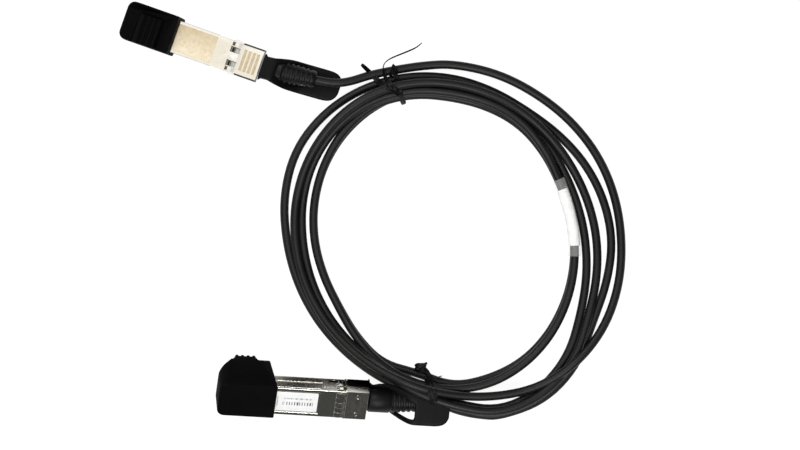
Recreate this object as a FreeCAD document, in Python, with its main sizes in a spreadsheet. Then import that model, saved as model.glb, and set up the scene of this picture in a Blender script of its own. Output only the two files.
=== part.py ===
import FreeCAD, Part
import math
import os
import re
import Sketcher

# A direct attach copper cable: a coil of twinax cord with a latched plug on each end.
# Each plug is drawn in its own frame: x runs back from the metal front along the plug,
# y runs across it, and z points to the latch side, away from the label side.
# Placements then lay both plugs, the leads and the coil on the table, z = 0.

sizes = {
    # shell of a plug
    "nose_start": 47.5,
    "shell_rear": 56.5,
    "shell_wide": 13.4,
    "shell_half": 4.25,
    "nose_wide": 13.9,
    "nose_half": 4.45,
    "seam_low": 1.65,
    "cavity_half": 5.5,
    "cavity_roof": 3.3,
    "cavity_rear": 50.0,
    "gland_half": 3.2,
    "gland_high": 2.4,
    # latch face
    "panel_front": 4.0,
    "panel_rear": 36.5,
    "panel_half": 5.6,
    "panel_deep": 0.35,
    "slot_front": 42.8,
    "slot_rear": 47.2,
    "slot_inner": 1.7,
    "slot_outer": 4.1,
    "post_front": 43.2,
    "post_rear": 45.8,
    "post_wide": 2.6,
    "post_high": 1.0,
    "grip_first": 49.2,
    "grip_pitch": 1.9,
    "grip_count": 4,
    "grip_half": 4.5,
    "grip_wide": 1.1,
    "grip_deep": 0.4,
    # grooves along the sides
    "rail_deep": 0.3,
    "rail_low_base": 0.4,
    "rail_low_top": 1.3,
    "rail_low_end": 37.3,
    "rail_high_base": 2.3,
    "rail_high_top": 3.2,
    "rail_high_end": 35.3,
    # cover on the label side
    "cover_front": 0.8,
    "cover_wall": 0.8,
    "label_front": 3.0,
    "label_rear": 36.2,
    "label_half": 5.3,
    "label_deep": 0.25,
    "label_thick": 0.12,
    "label_margin": 0.5,
    "rivet_back": 4.5,
    "rivet_side": 4.4,
    "rivet_radius": 0.75,
    "rivet_rise": 0.12,
    "rivet_deep": 1.2,
    # spring collar
    "band_long": 0.6,
    "band_thick": 0.25,
    "finger_long": 3.9,
    "finger_rise": 0.45,
    "finger_thick": 0.2,
    "finger_wide": 2.0,
    "finger_pitch": 2.5,
    "finger_count": 5,
    "finger_edge": 5.3,
    "finger_narrow": 1.6,
    # sliding latch
    "slide_gap": 0.1,
    "slide_travel": 2.2,
    "plate_inner": 6.35,
    "plate_front": 47.8,
    "plate_low": 0.5,
    "plate_round": 2.5,
    "bridge_thick": 0.6,
    "bridge_base": 4.0,
    "bridge_top": 5.2,
    "arm_front": 40.0,
    "arm_inner": 6.1,
    "arm_outer": 6.6,
    "arm_base": 2.0,
    "arm_top": 3.2,
    "arm_lap": 0.8,
    "hook_front": 43.4,
    "hook_rear": 44.6,
    "hook_inner": 1.9,
    "hook_base": 2.3,
    "hook_top": 3.0,
    "ramp_side": 2.9,
    "ramp_wide": 1.6,
    "ramp_top": 4.0,
    "pocket_front": 48.4,
    "pocket_rear": 53.0,
    "pocket_inner": 5.65,
    "pocket_base": 0.2,
    "pocket_top": 2.6,
    "spring_thick": 0.15,
    "spring_swing": 0.36,
    "spring_pitch": 0.8,
    "spring_count": 5,
    # pull tab
    "tab_thick": 1.2,
    "neck_half_rear": 6.2,
    "neck_half_front": 4.2,
    "tab_rise_start": 58.4,
    "tab_rise_end": 61.0,
    "tab_crest": 5.65,
    "tab_fall_start": 64.5,
    "tab_fall_end": 82.5,
    "tab_low": 4.9,
    "tab_end": 91.0,
    "tab_half": 6.5,
    "tab_widen": 63.5,
    "tab_round": 5.4,
    "window_front": 64.4,
    "window_rear": 81.4,
    "window_half": 5.3,
    "window_round": 2.0,
    # strain relief
    "boot_pivot": 57.0,
    "boot_start": 0.1,
    "boot_radius": 4.85,
    "boot_straight": 9.0,
    "ring_count": 6,
    "ring_pitch": 2.15,
    "ring_long": 1.25,
    "ring_first": 4.6,
    "ring_last": 3.6,
    "groove_first": 3.8,
    "groove_last": 3.0,
    "boot_long": 23.5,
    "flat_level": 3.9,
    "flat_rear": 63.0,
    "grip_block_end": 57.6,
    # card, contacts and conductors
    "card_thick": 1.0,
    "card_front": 1.0,
    "card_rear": 38.0,
    "card_half": 5.3,
    "tongue_rear": 8.0,
    "tongue_half": 4.6,
    "contact_front": 1.6,
    "contact_long": 3.6,
    "contact_wide": 0.5,
    "contact_pitch": 0.8,
    "contact_count": 10,
    "contact_thick": 0.06,
    "ferrule_front": 46.6,
    "ferrule_rear": 49.9,
    "ferrule_radius": 2.2,
    "ferrule_bore": 1.75,
    "pair_front": 38.3,
    "pair_rear": 49.4,
    "pair_thick": 1.15,
    "pair_tall": 2.0,
    # dust cap
    "cap_front": 4.5,
    "cap_rear": 19.5,
    "cap_half": 8.15,
    "cap_low": 5.6,
    "cap_high": 12.9,
    "cap_brow": 5.5,
    "cap_slope": 5.4,
    "cap_setback": 1.7,
    "cap_corner": 3.0,
    "cap_wall": 1.3,
    "cap_floor_gap": 0.15,
    "cap_stop": 1.5,
    "bump_front": 2.2,
    "bump_rear": 11.3,
    "bump_half": 4.6,
    "bump_high": 2.9,
    "bump_slope": 1.5,
    # cord and coil
    "cord_wide": 3.6,
    "coil_centre_x": 70.3,
    "coil_centre_y": -11.0,
    "coil_outer_long": 74.4,
    "coil_outer_short": 71.5,
    "coil_inner_long": 57.8,
    "coil_inner_short": 52.9,
    "coil_outer_x": 0.0,
    "coil_outer_y": 0.0,
    "coil_inner_x": -3.8,
    "coil_inner_y": 1.4,
    "coil_tilt": 135.0,
    "coil_high": 9.6,
    "room_start": 46.0,
    "room_end": 97.0,
    "room_near": 7.4,
    "room_far": 13.0,
    "neck_room_end": 72.0,
    "neck_room_near": 10.8,
    "lead_gap": 0.5,
    "joint_gap": 0.02,
    "lead_room": 14.0,
    # pieces on the coil
    "tie_wide": 2.4,
    "tie_thick": 0.6,
    "tie_slack": 0.05,
    "top_tie_turn": 111.0,
    "top_tie_inner": 59.3,
    "top_tie_outer": 78.1,
    "bottom_tie_turn": 262.0,
    "bottom_tie_inner": 53.7,
    "bottom_tie_outer": 61.0,
    "tag_radius": 50.4,
    "tag_level": 5.4,
    "tag_start": -3.0,
    "tag_turn": 29.0,
    "tag_bore": 1.85,
    "tag_thick": 0.15,
    "sleeve_extra": 4.5,
    "sleeve_bore": 2.2,
    "sleeve_thick": 0.35,
    "ledge_high": 2.6,
    "ledge_radius": 53.4,
    "ledge_extra": 4.0,
    # how the plugs lie
    "plug_a_x": -63.2,
    "plug_a_y": 80.3,
    "plug_a_yaw": -19.4,
    "tab_a_turn": 3.5,
    "boot_a_turn": 6.0,
    "plug_b_x": 34.5,
    "plug_b_y": -77.0,
    "plug_b_yaw": -3.5,
    "plug_b_pitch": 8.0,
    "plug_b_roll": -145.0,
}

doc = FreeCAD.newDocument("TwinaxCable")
sheet = doc.addObject("Spreadsheet::Sheet", "Sizes")
for row, (alias, value) in enumerate(sizes.items(), start=1):
    sheet.set("A%d" % row, alias)
    sheet.set("B%d" % row, str(value))
    sheet.setAlias("B%d" % row, alias)
doc.recompute()

parts = {}


def size(alias):
    """the number that the sheet holds under an alias"""
    return float(getattr(sheet, alias))


def bound(formula):
    """a formula of sizes with the sheet's name before each of them"""
    return re.sub(r"[a-z]+(_[a-z]+)+", lambda found: "Sizes." + found.group(0), formula)


def span(low, high):
    """the middle and the length of a stretch"""
    return "((%s) + (%s)) / 2" % (low, high), "(%s) - (%s)" % (high, low)


def box(low_x, low_y, high_x, high_y):
    """one rectangle as a list of one loop"""
    return [[(low_x, low_y), (high_x, low_y), (high_x, high_y), (low_x, high_y)]]


def both_sides(low_x, low_y, high_x, high_y):
    """a rectangle and its twin across the middle plane"""
    twin = box("-(%s)" % high_x, low_y, "-(%s)" % low_x, high_y)
    return box(low_x, low_y, high_x, high_y) + twin


def new_body(label, placement):
    """an empty body that will be one sub-part"""
    body = doc.addObject("PartDesign::Body", "Body")
    body.Label = label
    body.Placement = placement
    parts[label] = body
    return body


def origin_of(body, role):
    """a plane or an axis of the body's own origin"""
    return next(item for item in body.Origin.OriginFeatures if item.Role == role)


def new_sketch(body, name, role, level="0"):
    """an empty sketch on an origin plane moved along its normal"""
    sketch = body.newObject("Sketcher::SketchObject", name)
    sketch.AttachmentSupport = (origin_of(body, role), [""])
    sketch.MapMode = "FlatFace"
    sketch.setExpression("AttachmentOffset.Base.z", bound(level))
    return sketch


def fix_point(sketch, edge, end, spot):
    """bind a point of a sketch to two formulas measured from the origin"""
    for kind, formula in zip(("DistanceX", "DistanceY"), spot):
        rule = sketch.addConstraint(Sketcher.Constraint(kind, -1, 1, edge, end, 1.0))
        sketch.setExpression("Constraints[%d]" % rule, bound(formula))


def draw_loop(sketch, corners):
    """a closed outline of straight lines through bound corners"""
    count = len(corners)
    first = sketch.GeometryCount
    ring = [FreeCAD.Vector(math.cos(math.tau * step / count), math.sin(math.tau * step / count))
            for step in range(count)]
    for step in range(count):
        sketch.addGeometry(Part.LineSegment(ring[step], ring[(step + 1) % count]), False)
    for step, corner in enumerate(corners):
        following = first + (step + 1) % count
        sketch.addConstraint(Sketcher.Constraint("Coincident", first + step, 2, following, 1))
        fix_point(sketch, first + step, 1, corner)


def draw_circle(sketch, centre, radius):
    """a circle with a bound centre and radius"""
    edge = sketch.addGeometry(Part.Circle(FreeCAD.Vector(), FreeCAD.Vector(0, 0, 1), 1), False)
    fix_point(sketch, edge, 3, centre)
    rule = sketch.addConstraint(Sketcher.Constraint("Radius", edge, 1.0))
    sketch.setExpression("Constraints[%d]" % rule, bound(radius))


def sweep(body, name, sketch, depth, cut):
    """a pad or pocket that reaches half its depth to each side of the sketch"""
    feature = body.newObject("PartDesign::Pocket" if cut else "PartDesign::Pad", name)
    feature.Profile = sketch
    feature.SideType = "Symmetric"
    feature.setExpression("Length", bound(depth))
    return feature


def prism(body, name, role, loops, stretch, cut=False):
    """straight-sided pad or pocket, stretch gives its middle and its depth"""
    middle, depth = stretch
    sketch = new_sketch(body, name + "Outline", role, middle)
    for corners in loops:
        draw_loop(sketch, corners)
    return sweep(body, name, sketch, depth, cut)


def pins(body, name, role, centres, radius, stretch, cut=False):
    """round pads or holes of one radius"""
    middle, depth = stretch
    sketch = new_sketch(body, name + "Outline", role, middle)
    for centre in centres:
        draw_circle(sketch, centre, radius)
    return sweep(body, name, sketch, depth, cut)


def across(wide):
    """a stretch centred on the middle plane"""
    return "0", wide


def turned(body, name, corners, pivot, turn):
    """a form turned about an axis that leaves the pivot at an angle in plan"""
    sketch = new_sketch(body, name + "Outline", "XZ_Plane")
    sketch.setExpression("AttachmentOffset.Base.x", bound(pivot))
    spin = FreeCAD.Rotation(FreeCAD.Vector(0, 1, 0), turn)
    sketch.AttachmentOffset = FreeCAD.Placement(sketch.AttachmentOffset.Base, spin)
    draw_loop(sketch, corners)
    feature = body.newObject("PartDesign::Revolution", name)
    feature.Profile = sketch
    feature.ReferenceAxis = (sketch, ["H_Axis"])
    feature.Angle = 360
    return feature


def repeat(body, name, originals, axis, length, count):
    """copies of features in a row along an axis"""
    feature = body.newObject("PartDesign::LinearPattern", name)
    feature.Originals = originals
    feature.Direction = (origin_of(body, axis), [""])
    feature.setExpression("Length", bound(length))
    feature.setExpression("Occurrences", bound(count))
    body.Tip = feature
    return feature


def mirror(body, name, originals):
    """twins of features across the plug's middle plane"""
    feature = body.newObject("PartDesign::Mirrored", name)
    feature.Originals = originals
    feature.MirrorPlane = (origin_of(body, "XZ_Plane"), [""])
    body.Tip = feature
    return feature


def soften(body, name, radius, chosen):
    """round the edges that a test picks by their middle and direction"""
    doc.recompute()
    base = body.Tip
    names = []
    for number, edge in enumerate(base.Shape.Edges, start=1):
        if edge.Curve.TypeId == "Part::GeomLine" and chosen(edge.CenterOfMass, edge.Curve.Direction):
            names.append("Edge%d" % number)
    feature = body.newObject("PartDesign::Fillet", name)
    feature.Base = (base, names)
    feature.setExpression("Radius", bound(radius))
    return feature


def near(value, target):
    """true where two lengths are the same within a hundredth"""
    return abs(value - target) < 0.01


def make_housing(end, placement):
    """the cast latch-side half: card space, lock post, slots, slide recesses and grip grooves"""
    body = new_body("housing_" + end, placement)
    prism(body, "Shell", "XZ_Plane", box("0", "-seam_low", "nose_start", "shell_half"), across("shell_wide"))
    prism(body, "Nose", "XZ_Plane", box("nose_start", "-seam_low", "shell_rear", "nose_half"),
          across("nose_wide"))
    prism(body, "CardSpace", "XZ_Plane", box("-1", "-seam_low - 1", "cavity_rear", "cavity_roof"),
          across("2 * cavity_half"), cut=True)
    prism(body, "Gland", "XZ_Plane", box("cavity_rear - 1", "-seam_low - 1", "shell_rear + 1", "gland_high"),
          across("2 * gland_half"), cut=True)
    prism(body, "Panel", "XY_Plane", box("panel_front", "-panel_half", "panel_rear", "panel_half"),
          ("shell_half", "2 * panel_deep"), cut=True)
    slots = [[(y, x) for x, y in loop] for loop in
             both_sides("slot_inner", "slot_front", "slot_outer", "slot_rear")]
    prism(body, "Slots", "XY_Plane", slots, span("cavity_roof - 1", "shell_half + 1"), cut=True)
    prism(body, "SlideSeat", "YZ_Plane",
          both_sides("plate_inner - slide_gap", "-plate_low - slide_gap", "nose_wide", "nose_half + 1"),
          span("nose_start", "shell_rear + 1"), cut=True)
    prism(body, "ArmSeat", "YZ_Plane",
          both_sides("arm_inner - slide_gap", "arm_base - slide_gap", "nose_wide", "arm_top + slide_gap"),
          span("arm_front - slide_gap", "plate_front + arm_lap + slide_travel + slide_gap"), cut=True)
    prism(body, "HookWindow", "YZ_Plane",
          both_sides("cavity_half - 1", "hook_base - slide_gap", "arm_outer", "hook_top + slide_gap"),
          span("hook_front - slide_gap", "hook_rear + slide_travel + slide_gap"), cut=True)
    prism(body, "SpringPocket", "YZ_Plane",
          both_sides("pocket_inner", "pocket_base", "plate_inner", "pocket_top"),
          span("pocket_front", "pocket_rear"), cut=True)
    prism(body, "LowRail", "YZ_Plane",
          both_sides("shell_wide / 2 - rail_deep", "rail_low_base", "nose_wide", "rail_low_top"),
          span("-1", "rail_low_end"), cut=True)
    prism(body, "HighRail", "YZ_Plane",
          both_sides("shell_wide / 2 - rail_deep", "rail_high_base", "nose_wide", "rail_high_top"),
          span("-1", "rail_high_end"), cut=True)
    pins(body, "RivetSockets", "XY_Plane",
         [("shell_rear - rivet_back", "rivet_side"), ("shell_rear - rivet_back", "-rivet_side")],
         "rivet_radius", span("-seam_low - 1", "-seam_low + rivet_deep"), cut=True)
    post = [("post_front", "0"), ("post_rear", "-post_wide / 2"), ("post_rear", "post_wide / 2")]
    prism(body, "LockPost", "XY_Plane", [post], span("cavity_roof + 0.2", "shell_half + post_high"))
    groove = prism(body, "Grip", "XY_Plane",
                   box("grip_first - grip_wide / 2", "-grip_half", "grip_first + grip_wide / 2", "grip_half"),
                   ("nose_half", "2 * grip_deep"), cut=True)
    repeat(body, "GripRow", [groove], "X_Axis", "grip_pitch * (grip_count - 1)", "grip_count")
    return body


def make_cover(end, placement):
    """the thin cover on the label side, with the label's recess and the rivet holes"""
    body = new_body("top_cover_" + end, placement)
    prism(body, "Tray", "XZ_Plane", box("cover_front", "-shell_half", "nose_start", "-seam_low"),
          across("shell_wide"))
    prism(body, "Nose", "XZ_Plane", box("nose_start", "-nose_half", "shell_rear", "-seam_low"),
          across("nose_wide"))
    prism(body, "CardSpace", "XZ_Plane", box("-1", "-shell_half + cover_wall", "cavity_rear", "0"),
          across("2 * cavity_half"), cut=True)
    prism(body, "Gland", "XZ_Plane", box("cavity_rear - 1", "-gland_high", "shell_rear + 1", "0"),
          across("2 * gland_half"), cut=True)
    prism(body, "LabelSeat", "XY_Plane", box("label_front", "-label_half", "label_rear", "label_half"),
          ("-shell_half", "2 * label_deep"), cut=True)
    pins(body, "RivetHoles", "XY_Plane",
         [("shell_rear - rivet_back", "rivet_side"), ("shell_rear - rivet_back", "-rivet_side")],
         "rivet_radius", span("-nose_half - 1", "0"), cut=True)
    return body


def make_rivets(end, placement):
    """two rivets through the cover into the housing"""
    body = new_body("cover_rivets_" + end, placement)
    pins(body, "Rivets", "XY_Plane",
         [("shell_rear - rivet_back", "rivet_side"), ("shell_rear - rivet_back", "-rivet_side")],
         "rivet_radius", span("-nose_half - rivet_rise", "-seam_low + rivet_deep"))
    return body


def finger_outline(face):
    """an arched contact finger that bows out from a face at this distance from the axis"""
    front = "nose_start - band_long - finger_long"
    top = "(%s) + finger_rise + finger_thick" % face
    return [(front, "(%s) + 0.02" % face),
            (front, "(%s) + finger_thick" % face),
            (front + " + finger_long * 0.3", top),
            (front + " + finger_long * 0.7", top),
            ("nose_start - band_long / 2", "(%s) + band_thick" % face),
            ("nose_start - band_long / 2", "(%s) + 0.02" % face),
            (front + " + finger_long * 0.7", "(%s) + finger_rise" % face),
            (front + " + finger_long * 0.3", "(%s) + finger_rise" % face)]


def flipped(corners):
    """an outline turned over to the other side of the axis"""
    return [(x, "-(%s)" % y) for x, y in corners]


def make_collar(end, placement):
    """the sprung collar in front of the nose: a band with rows of arched fingers"""
    body = new_body("spring_collar_" + end, placement)
    half_wide = "shell_wide / 2"
    frame = box("-%s - band_thick" % half_wide, "-shell_half - band_thick",
                "%s + band_thick" % half_wide, "shell_half + band_thick")
    opening = box("-%s" % half_wide, "-shell_half", half_wide, "shell_half")
    prism(body, "Band", "YZ_Plane", frame + opening, span("nose_start - band_long", "nose_start"))
    label_finger = prism(body, "LabelFinger", "XZ_Plane", [flipped(finger_outline("shell_half"))],
                         ("finger_pitch * (finger_count - 1) / 2", "finger_wide"))
    repeat(body, "LabelFingers", [label_finger], "Y_Axis", "finger_pitch * (finger_count - 1)",
           "finger_count")
    edge_finger = prism(body, "EdgeFinger", "XZ_Plane", [finger_outline("shell_half")],
                        ("finger_edge", "finger_narrow"))
    side_finger = prism(body, "SideFinger", "XY_Plane", [finger_outline(half_wide)],
                        ("-finger_pitch", "finger_wide"))
    upper_finger = prism(body, "UpperFinger", "XY_Plane", [finger_outline(half_wide)],
                         ("0.15", "finger_wide"))
    mirror(body, "Twins", [edge_finger, side_finger, upper_finger])
    return body


def make_slide(end, placement):
    """the latch slide: side plates, a rear bridge, arms and hooked ramps under the slots"""
    body = new_body("latch_slide_" + end, placement)
    bridge_rear = "shell_rear + 2 * slide_gap + bridge_thick"
    prism(body, "Bridge", "XZ_Plane",
          box("shell_rear + 2 * slide_gap", "bridge_base", bridge_rear, "bridge_top"), across("nose_wide"))
    prism(body, "Plates", "YZ_Plane",
          both_sides("plate_inner", "-plate_low", "nose_wide / 2", "nose_half"),
          span("plate_front", bridge_rear))
    prism(body, "Arms", "YZ_Plane", both_sides("arm_inner", "arm_base", "arm_outer", "arm_top"),
          span("arm_front", "plate_front + arm_lap"))
    prism(body, "Hooks", "YZ_Plane", both_sides("hook_inner", "hook_base", "arm_inner + 0.2", "hook_top"),
          span("hook_front", "hook_rear"))
    ramp = prism(body, "Ramp", "XZ_Plane",
                 [[("hook_front", "hook_base + 0.1"), ("hook_rear", "hook_base + 0.1"),
                   ("hook_rear", "ramp_top"), ("hook_rear - 0.3", "ramp_top")]],
                 ("ramp_side", "ramp_wide"))
    mirror(body, "Ramps", [ramp])
    rear = size("shell_rear") + 2 * size("slide_gap") + size("bridge_thick")
    soften(body, "PlateCorners", "plate_round",
           lambda middle, way: near(abs(way.y), 1) and near(middle.x, rear)
           and near(middle.z, -size("plate_low")))
    return body


def make_springs(end, placement):
    """two zigzag leaf springs that pull the slide forward"""
    body = new_body("return_springs_" + end, placement)
    middle = "(pocket_inner + plate_inner) / 2"
    there = []
    back = []
    for step in range(2 * int(size("spring_count")) + 1):
        sign = "+" if step % 2 else "-"
        along = "pocket_front + 0.2 + spring_pitch / 2 * %d" % step
        there.append((along, "%s %s spring_swing / 2 + spring_thick" % (middle, sign)))
        back.append((along, "%s %s spring_swing / 2" % (middle, sign)))
    leaf = prism(body, "Leaf", "XY_Plane", [there + back[::-1]],
                 span("pocket_base + slide_gap", "pocket_top - slide_gap"))
    mirror(body, "Leaves", [leaf])
    return body


def make_tab(end, placement, turn):
    """the moulded pull tab: a neck on the slide's bridge, a windowed strap and a round paddle"""
    body = new_body("pull_tab_" + end, placement)
    start = "shell_rear + 2 * slide_gap + bridge_thick"
    half = "tab_thick / 2"
    root = "(bridge_base + bridge_top) / 2"
    levels = [(start, root), ("tab_rise_start", root), ("tab_rise_end", "tab_crest"),
              ("tab_fall_start", "tab_crest"), ("tab_fall_end", "-tab_low"), ("tab_end + 1", "-tab_low")]
    rise = "tan(atan((tab_crest - %s) / (tab_rise_end - tab_rise_start)) / 2)" % root
    fall = "tan(atan((tab_crest + tab_low) / (tab_fall_end - tab_fall_start)) / 2)"
    shifts = ["0", "-" + rise, "-" + rise, fall, fall, "0"]
    upper = [("%s + %s * %s" % (x, half, shift), "%s + %s" % (z, half))
             for (x, z), shift in zip(levels, shifts)]
    lower = [("%s - %s * %s" % (x, half, shift), "%s - %s" % (z, half))
             for (x, z), shift in zip(levels, shifts)]
    prism(body, "Strap", "XZ_Plane", [upper + lower[::-1]], across("4 * tab_half"))
    lean = math.tan(math.radians(turn))

    def plan(x, y):
        return (x, "%s + (%s - (%s)) * %.6f" % (y, x, start, lean))

    outline = [plan(start, "-neck_half_rear"), plan("tab_rise_start + 1.2", "-neck_half_front"),
               plan("tab_widen", "-tab_half"), plan("tab_end", "-tab_half"),
               plan("tab_end", "tab_half"), plan("tab_widen", "tab_half"),
               plan("tab_rise_start + 1.2", "neck_half_front"), plan(start, "neck_half_rear")]
    window = [plan("window_front", "-window_half"), plan("window_rear", "-window_half"),
              plan("window_rear", "window_half"), plan("window_front", "window_half")]
    waste = box("shell_rear - 5", "-4 * tab_half", "tab_end + 9", "4 * tab_half")
    prism(body, "Trim", "XY_Plane", waste + [outline, window], across("40"), cut=True)
    end_x = size("tab_end")
    soften(body, "PaddleEnd", "tab_round",
           lambda middle, way: near(abs(way.z), 1) and near(middle.x, end_x))
    rear_x = size("window_rear")
    soften(body, "WindowEnd", "window_round",
           lambda middle, way: near(abs(way.z), 1) and near(middle.x, rear_x))
    return body


def make_relief(end, placement, turn):
    """the moulded strain relief: a gripping block in the nose and a ringed boot behind it"""
    body = new_body("strain_relief_" + end, placement)
    prism(body, "Block", "XZ_Plane",
          box("cavity_rear + slide_gap", "-gland_high + slide_gap", "grip_block_end",
              "gland_high - slide_gap"),
          across("2 * (gland_half - slide_gap)"))
    corners = [("boot_start", "0"), ("boot_start", "boot_radius"), ("boot_straight", "boot_radius")]
    count = int(size("ring_count"))
    for ring in range(count):
        share = "%d / (ring_count - 1)" % ring
        groove = "groove_first + (groove_last - groove_first) * " + share
        crest = "ring_first + (ring_last - ring_first) * " + share
        front = "boot_straight + 0.3 + ring_pitch * %d" % ring
        corners.append((front, groove))
        corners.append((front + " + ring_pitch - ring_long", groove))
        corners.append((front + " + ring_pitch - ring_long", crest))
        corners.append((front + " + ring_pitch", crest))
    corners.append(("boot_long", "ring_last"))
    corners.append(("boot_long", "0"))
    turned(body, "Boot", corners, "boot_pivot", turn)
    prism(body, "Flat", "XZ_Plane", box("shell_rear - 1", "flat_level", "flat_rear", "boot_radius + 1"),
          across("4 * boot_radius"), cut=True)
    return body


def make_ferrule(end, placement):
    """the crimp ferrule round the conductors"""
    body = new_body("ferrule_" + end, placement)
    stretch = span("ferrule_front", "ferrule_rear")
    pins(body, "Sleeve", "YZ_Plane", [("0", "0")], "ferrule_radius", stretch)
    pins(body, "Bore", "YZ_Plane", [("0", "0")], "ferrule_bore", (stretch[0], "2 * (%s)" % stretch[1]),
         cut=True)
    return body


def make_pairs(end, placement):
    """the two shielded pairs between the card and the ferrule"""
    body = new_body("twinax_pairs_" + end, placement)
    prism(body, "Pairs", "YZ_Plane",
          both_sides("0.05", "-pair_tall / 2", "0.05 + pair_thick", "pair_tall / 2"),
          span("pair_front", "pair_rear"))
    return body


def make_card(end, placement):
    """the card with its narrower tongue"""
    body = new_body("paddle_card_" + end, placement)
    edge = [("card_front", "-tongue_half"), ("tongue_rear", "-tongue_half"), ("tongue_rear", "-card_half"),
            ("card_rear", "-card_half"), ("card_rear", "card_half"), ("tongue_rear", "card_half"),
            ("tongue_rear", "tongue_half"), ("card_front", "tongue_half")]
    prism(body, "Card", "XY_Plane", [edge], across("card_thick"))
    return body


def make_contacts(end, placement):
    """gold pads in a row on both faces of the card's tongue"""
    body = new_body("card_contacts_" + end, placement)
    first = "contact_pitch * (contact_count - 1) / 2"
    pad = box("-%s - contact_wide / 2" % first, "card_thick / 2", "-%s + contact_wide / 2" % first,
              "card_thick / 2 + contact_thick")
    under = box("-%s - contact_wide / 2" % first, "-card_thick / 2 - contact_thick",
                "-%s + contact_wide / 2" % first, "-card_thick / 2")
    pads = prism(body, "Pads", "YZ_Plane", pad + under,
                 span("contact_front", "contact_front + contact_long"))
    repeat(body, "PadRow", [pads], "Y_Axis", "contact_pitch * (contact_count - 1)", "contact_count")
    return body


def make_label(end, placement):
    """the label in its recess"""
    body = new_body("plug_label_" + end, placement)
    prism(body, "Label", "XY_Plane",
          box("label_front + label_margin", "-label_half + label_margin", "label_rear - label_margin",
              "label_half - label_margin"),
          span("-shell_half + label_deep - label_thick", "-shell_half + label_deep"))
    return body


def make_cap(end, placement):
    """the rubber dust cap: a deep block that slopes at the front, with a grip bump"""
    body = new_body("dust_cap_" + end, placement)
    slope_top = "-cap_front + cap_slope"
    side = [("-cap_front", "-cap_low"), ("cap_rear", "-cap_low"), ("cap_rear", "cap_high"),
            (slope_top, "cap_high"), ("-cap_front", "cap_brow")]
    prism(body, "Block", "XZ_Plane", [side], across("2 * cap_half"))
    front = -size("cap_front")
    soften(body, "FrontCorners", "cap_corner",
           lambda middle, way: near(abs(way.z), 1) and near(middle.x, front))
    prism(body, "Setback", "XY_Plane",
          box("cap_rear - cap_setback", "-cap_half + cap_wall", "cap_rear + 1", "cap_half - cap_wall"),
          across("4 * cap_high"), cut=True)
    bump = [("bump_front", "cap_high - 1"), ("bump_rear", "cap_high - 1"), ("bump_rear", "cap_high"),
            ("bump_rear - bump_slope", "cap_high + bump_high"),
            ("bump_front + bump_slope", "cap_high + bump_high"), ("bump_front", "cap_high")]
    prism(body, "Bump", "XZ_Plane", [bump], across("2 * bump_half"))
    fit = "cap_floor_gap"
    prism(body, "Socket", "XZ_Plane",
          box("-cap_stop", "-nose_half + 0.05", "cap_rear + 1", "nose_half"),
          across("shell_wide + 2 * " + fit), cut=True)
    return body


def plug_placement(end, height):
    """how a plug lies: its origin on the table plane plus a height, and its three turns"""
    if end == "a":
        turn = FreeCAD.Rotation(size("plug_a_yaw"), 0, 0)
    else:
        turn = FreeCAD.Rotation(size("plug_b_yaw"), size("plug_b_pitch"), size("plug_b_roll"))
    base = FreeCAD.Vector(size("plug_%s_x" % end), size("plug_%s_y" % end), height)
    if end == "b":
        base = base - turn.multVec(FreeCAD.Vector(size("shell_rear"), 0, 0))
        base.z = height
    return FreeCAD.Placement(base, turn)


def resting_height(shape):
    """the height that brings the lowest point of a shape at height zero up to the table"""
    return -min(vertex.Point.z for vertex in shape.Vertexes)


def make_plug(end):
    """all the pieces of one plug; the cap's lowest corner sets its height"""
    flat = plug_placement(end, 0)
    cap = make_cap(end, flat)
    doc.recompute()
    placement = plug_placement(end, resting_height(cap.Shape))
    cap.Placement = placement
    tab_turn = size("tab_a_turn") if end == "a" else 0.0
    boot_turn = size("boot_a_turn") if end == "a" else 0.0
    make_housing(end, placement)
    make_cover(end, placement)
    make_rivets(end, placement)
    make_collar(end, placement)
    make_slide(end, placement)
    make_springs(end, placement)
    make_tab(end, placement, tab_turn)
    make_relief(end, placement, boot_turn)
    make_ferrule(end, placement)
    make_pairs(end, placement)
    make_card(end, placement)
    make_contacts(end, placement)
    way = FreeCAD.Rotation(boot_turn, 0, 0).multVec(FreeCAD.Vector(1, 0, 0))
    exit_spot = placement.multVec(FreeCAD.Vector(size("boot_pivot"), 0, 0) + way * size("boot_long"))
    return placement, exit_spot, placement.Rotation.multVec(way)


def rounded_path(points):
    """straight runs joined by arcs as large as the two runs at each corner allow"""
    edges = []
    radii = []
    start = points[0]
    for before, corner, after in zip(points, points[1:], points[2:]):
        back = (before - corner).normalize()
        forth = (after - corner).normalize()
        shorter = min((before - corner).Length, (after - corner).Length)
        half_turn = (math.pi - back.getAngle(forth)) / 2
        reach = 0.45 * shorter
        radius = reach / math.tan(half_turn)
        centre_way = (back + forth).normalize()
        middle = corner + centre_way * (radius / math.cos(half_turn) - radius)
        entry = corner + back * reach
        leave = corner + forth * reach
        edges.append(Part.LineSegment(start, entry).toShape())
        edges.append(Part.Arc(entry, middle, leave).toShape())
        radii.append(round(radius, 1))
        start = leave
    edges.append(Part.LineSegment(start, points[-1]).toShape())
    return Part.Wire(edges), radii


def make_lead(label, points):
    """a round tube of cord along a route"""
    path, radii = rounded_path(points)
    way = (points[1] - points[0]).normalize()
    profile = Part.Wire(Part.makeCircle(size("cord_wide") / 2, points[0], way))
    tube = path.makePipeShell([profile], True, False)
    section = math.pi * size("cord_wide") ** 2 / 4
    share = tube.Volume / (section * path.Length)
    print("%s: length %.1f, volume share %.4f, radii %s" % (label, path.Length, share, radii))
    lead = doc.addObject("Part::Feature", label)
    lead.Shape = tube
    lead.Placement = FreeCAD.Placement()
    lead.Label = label
    parts[label] = lead
    return lead


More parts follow.
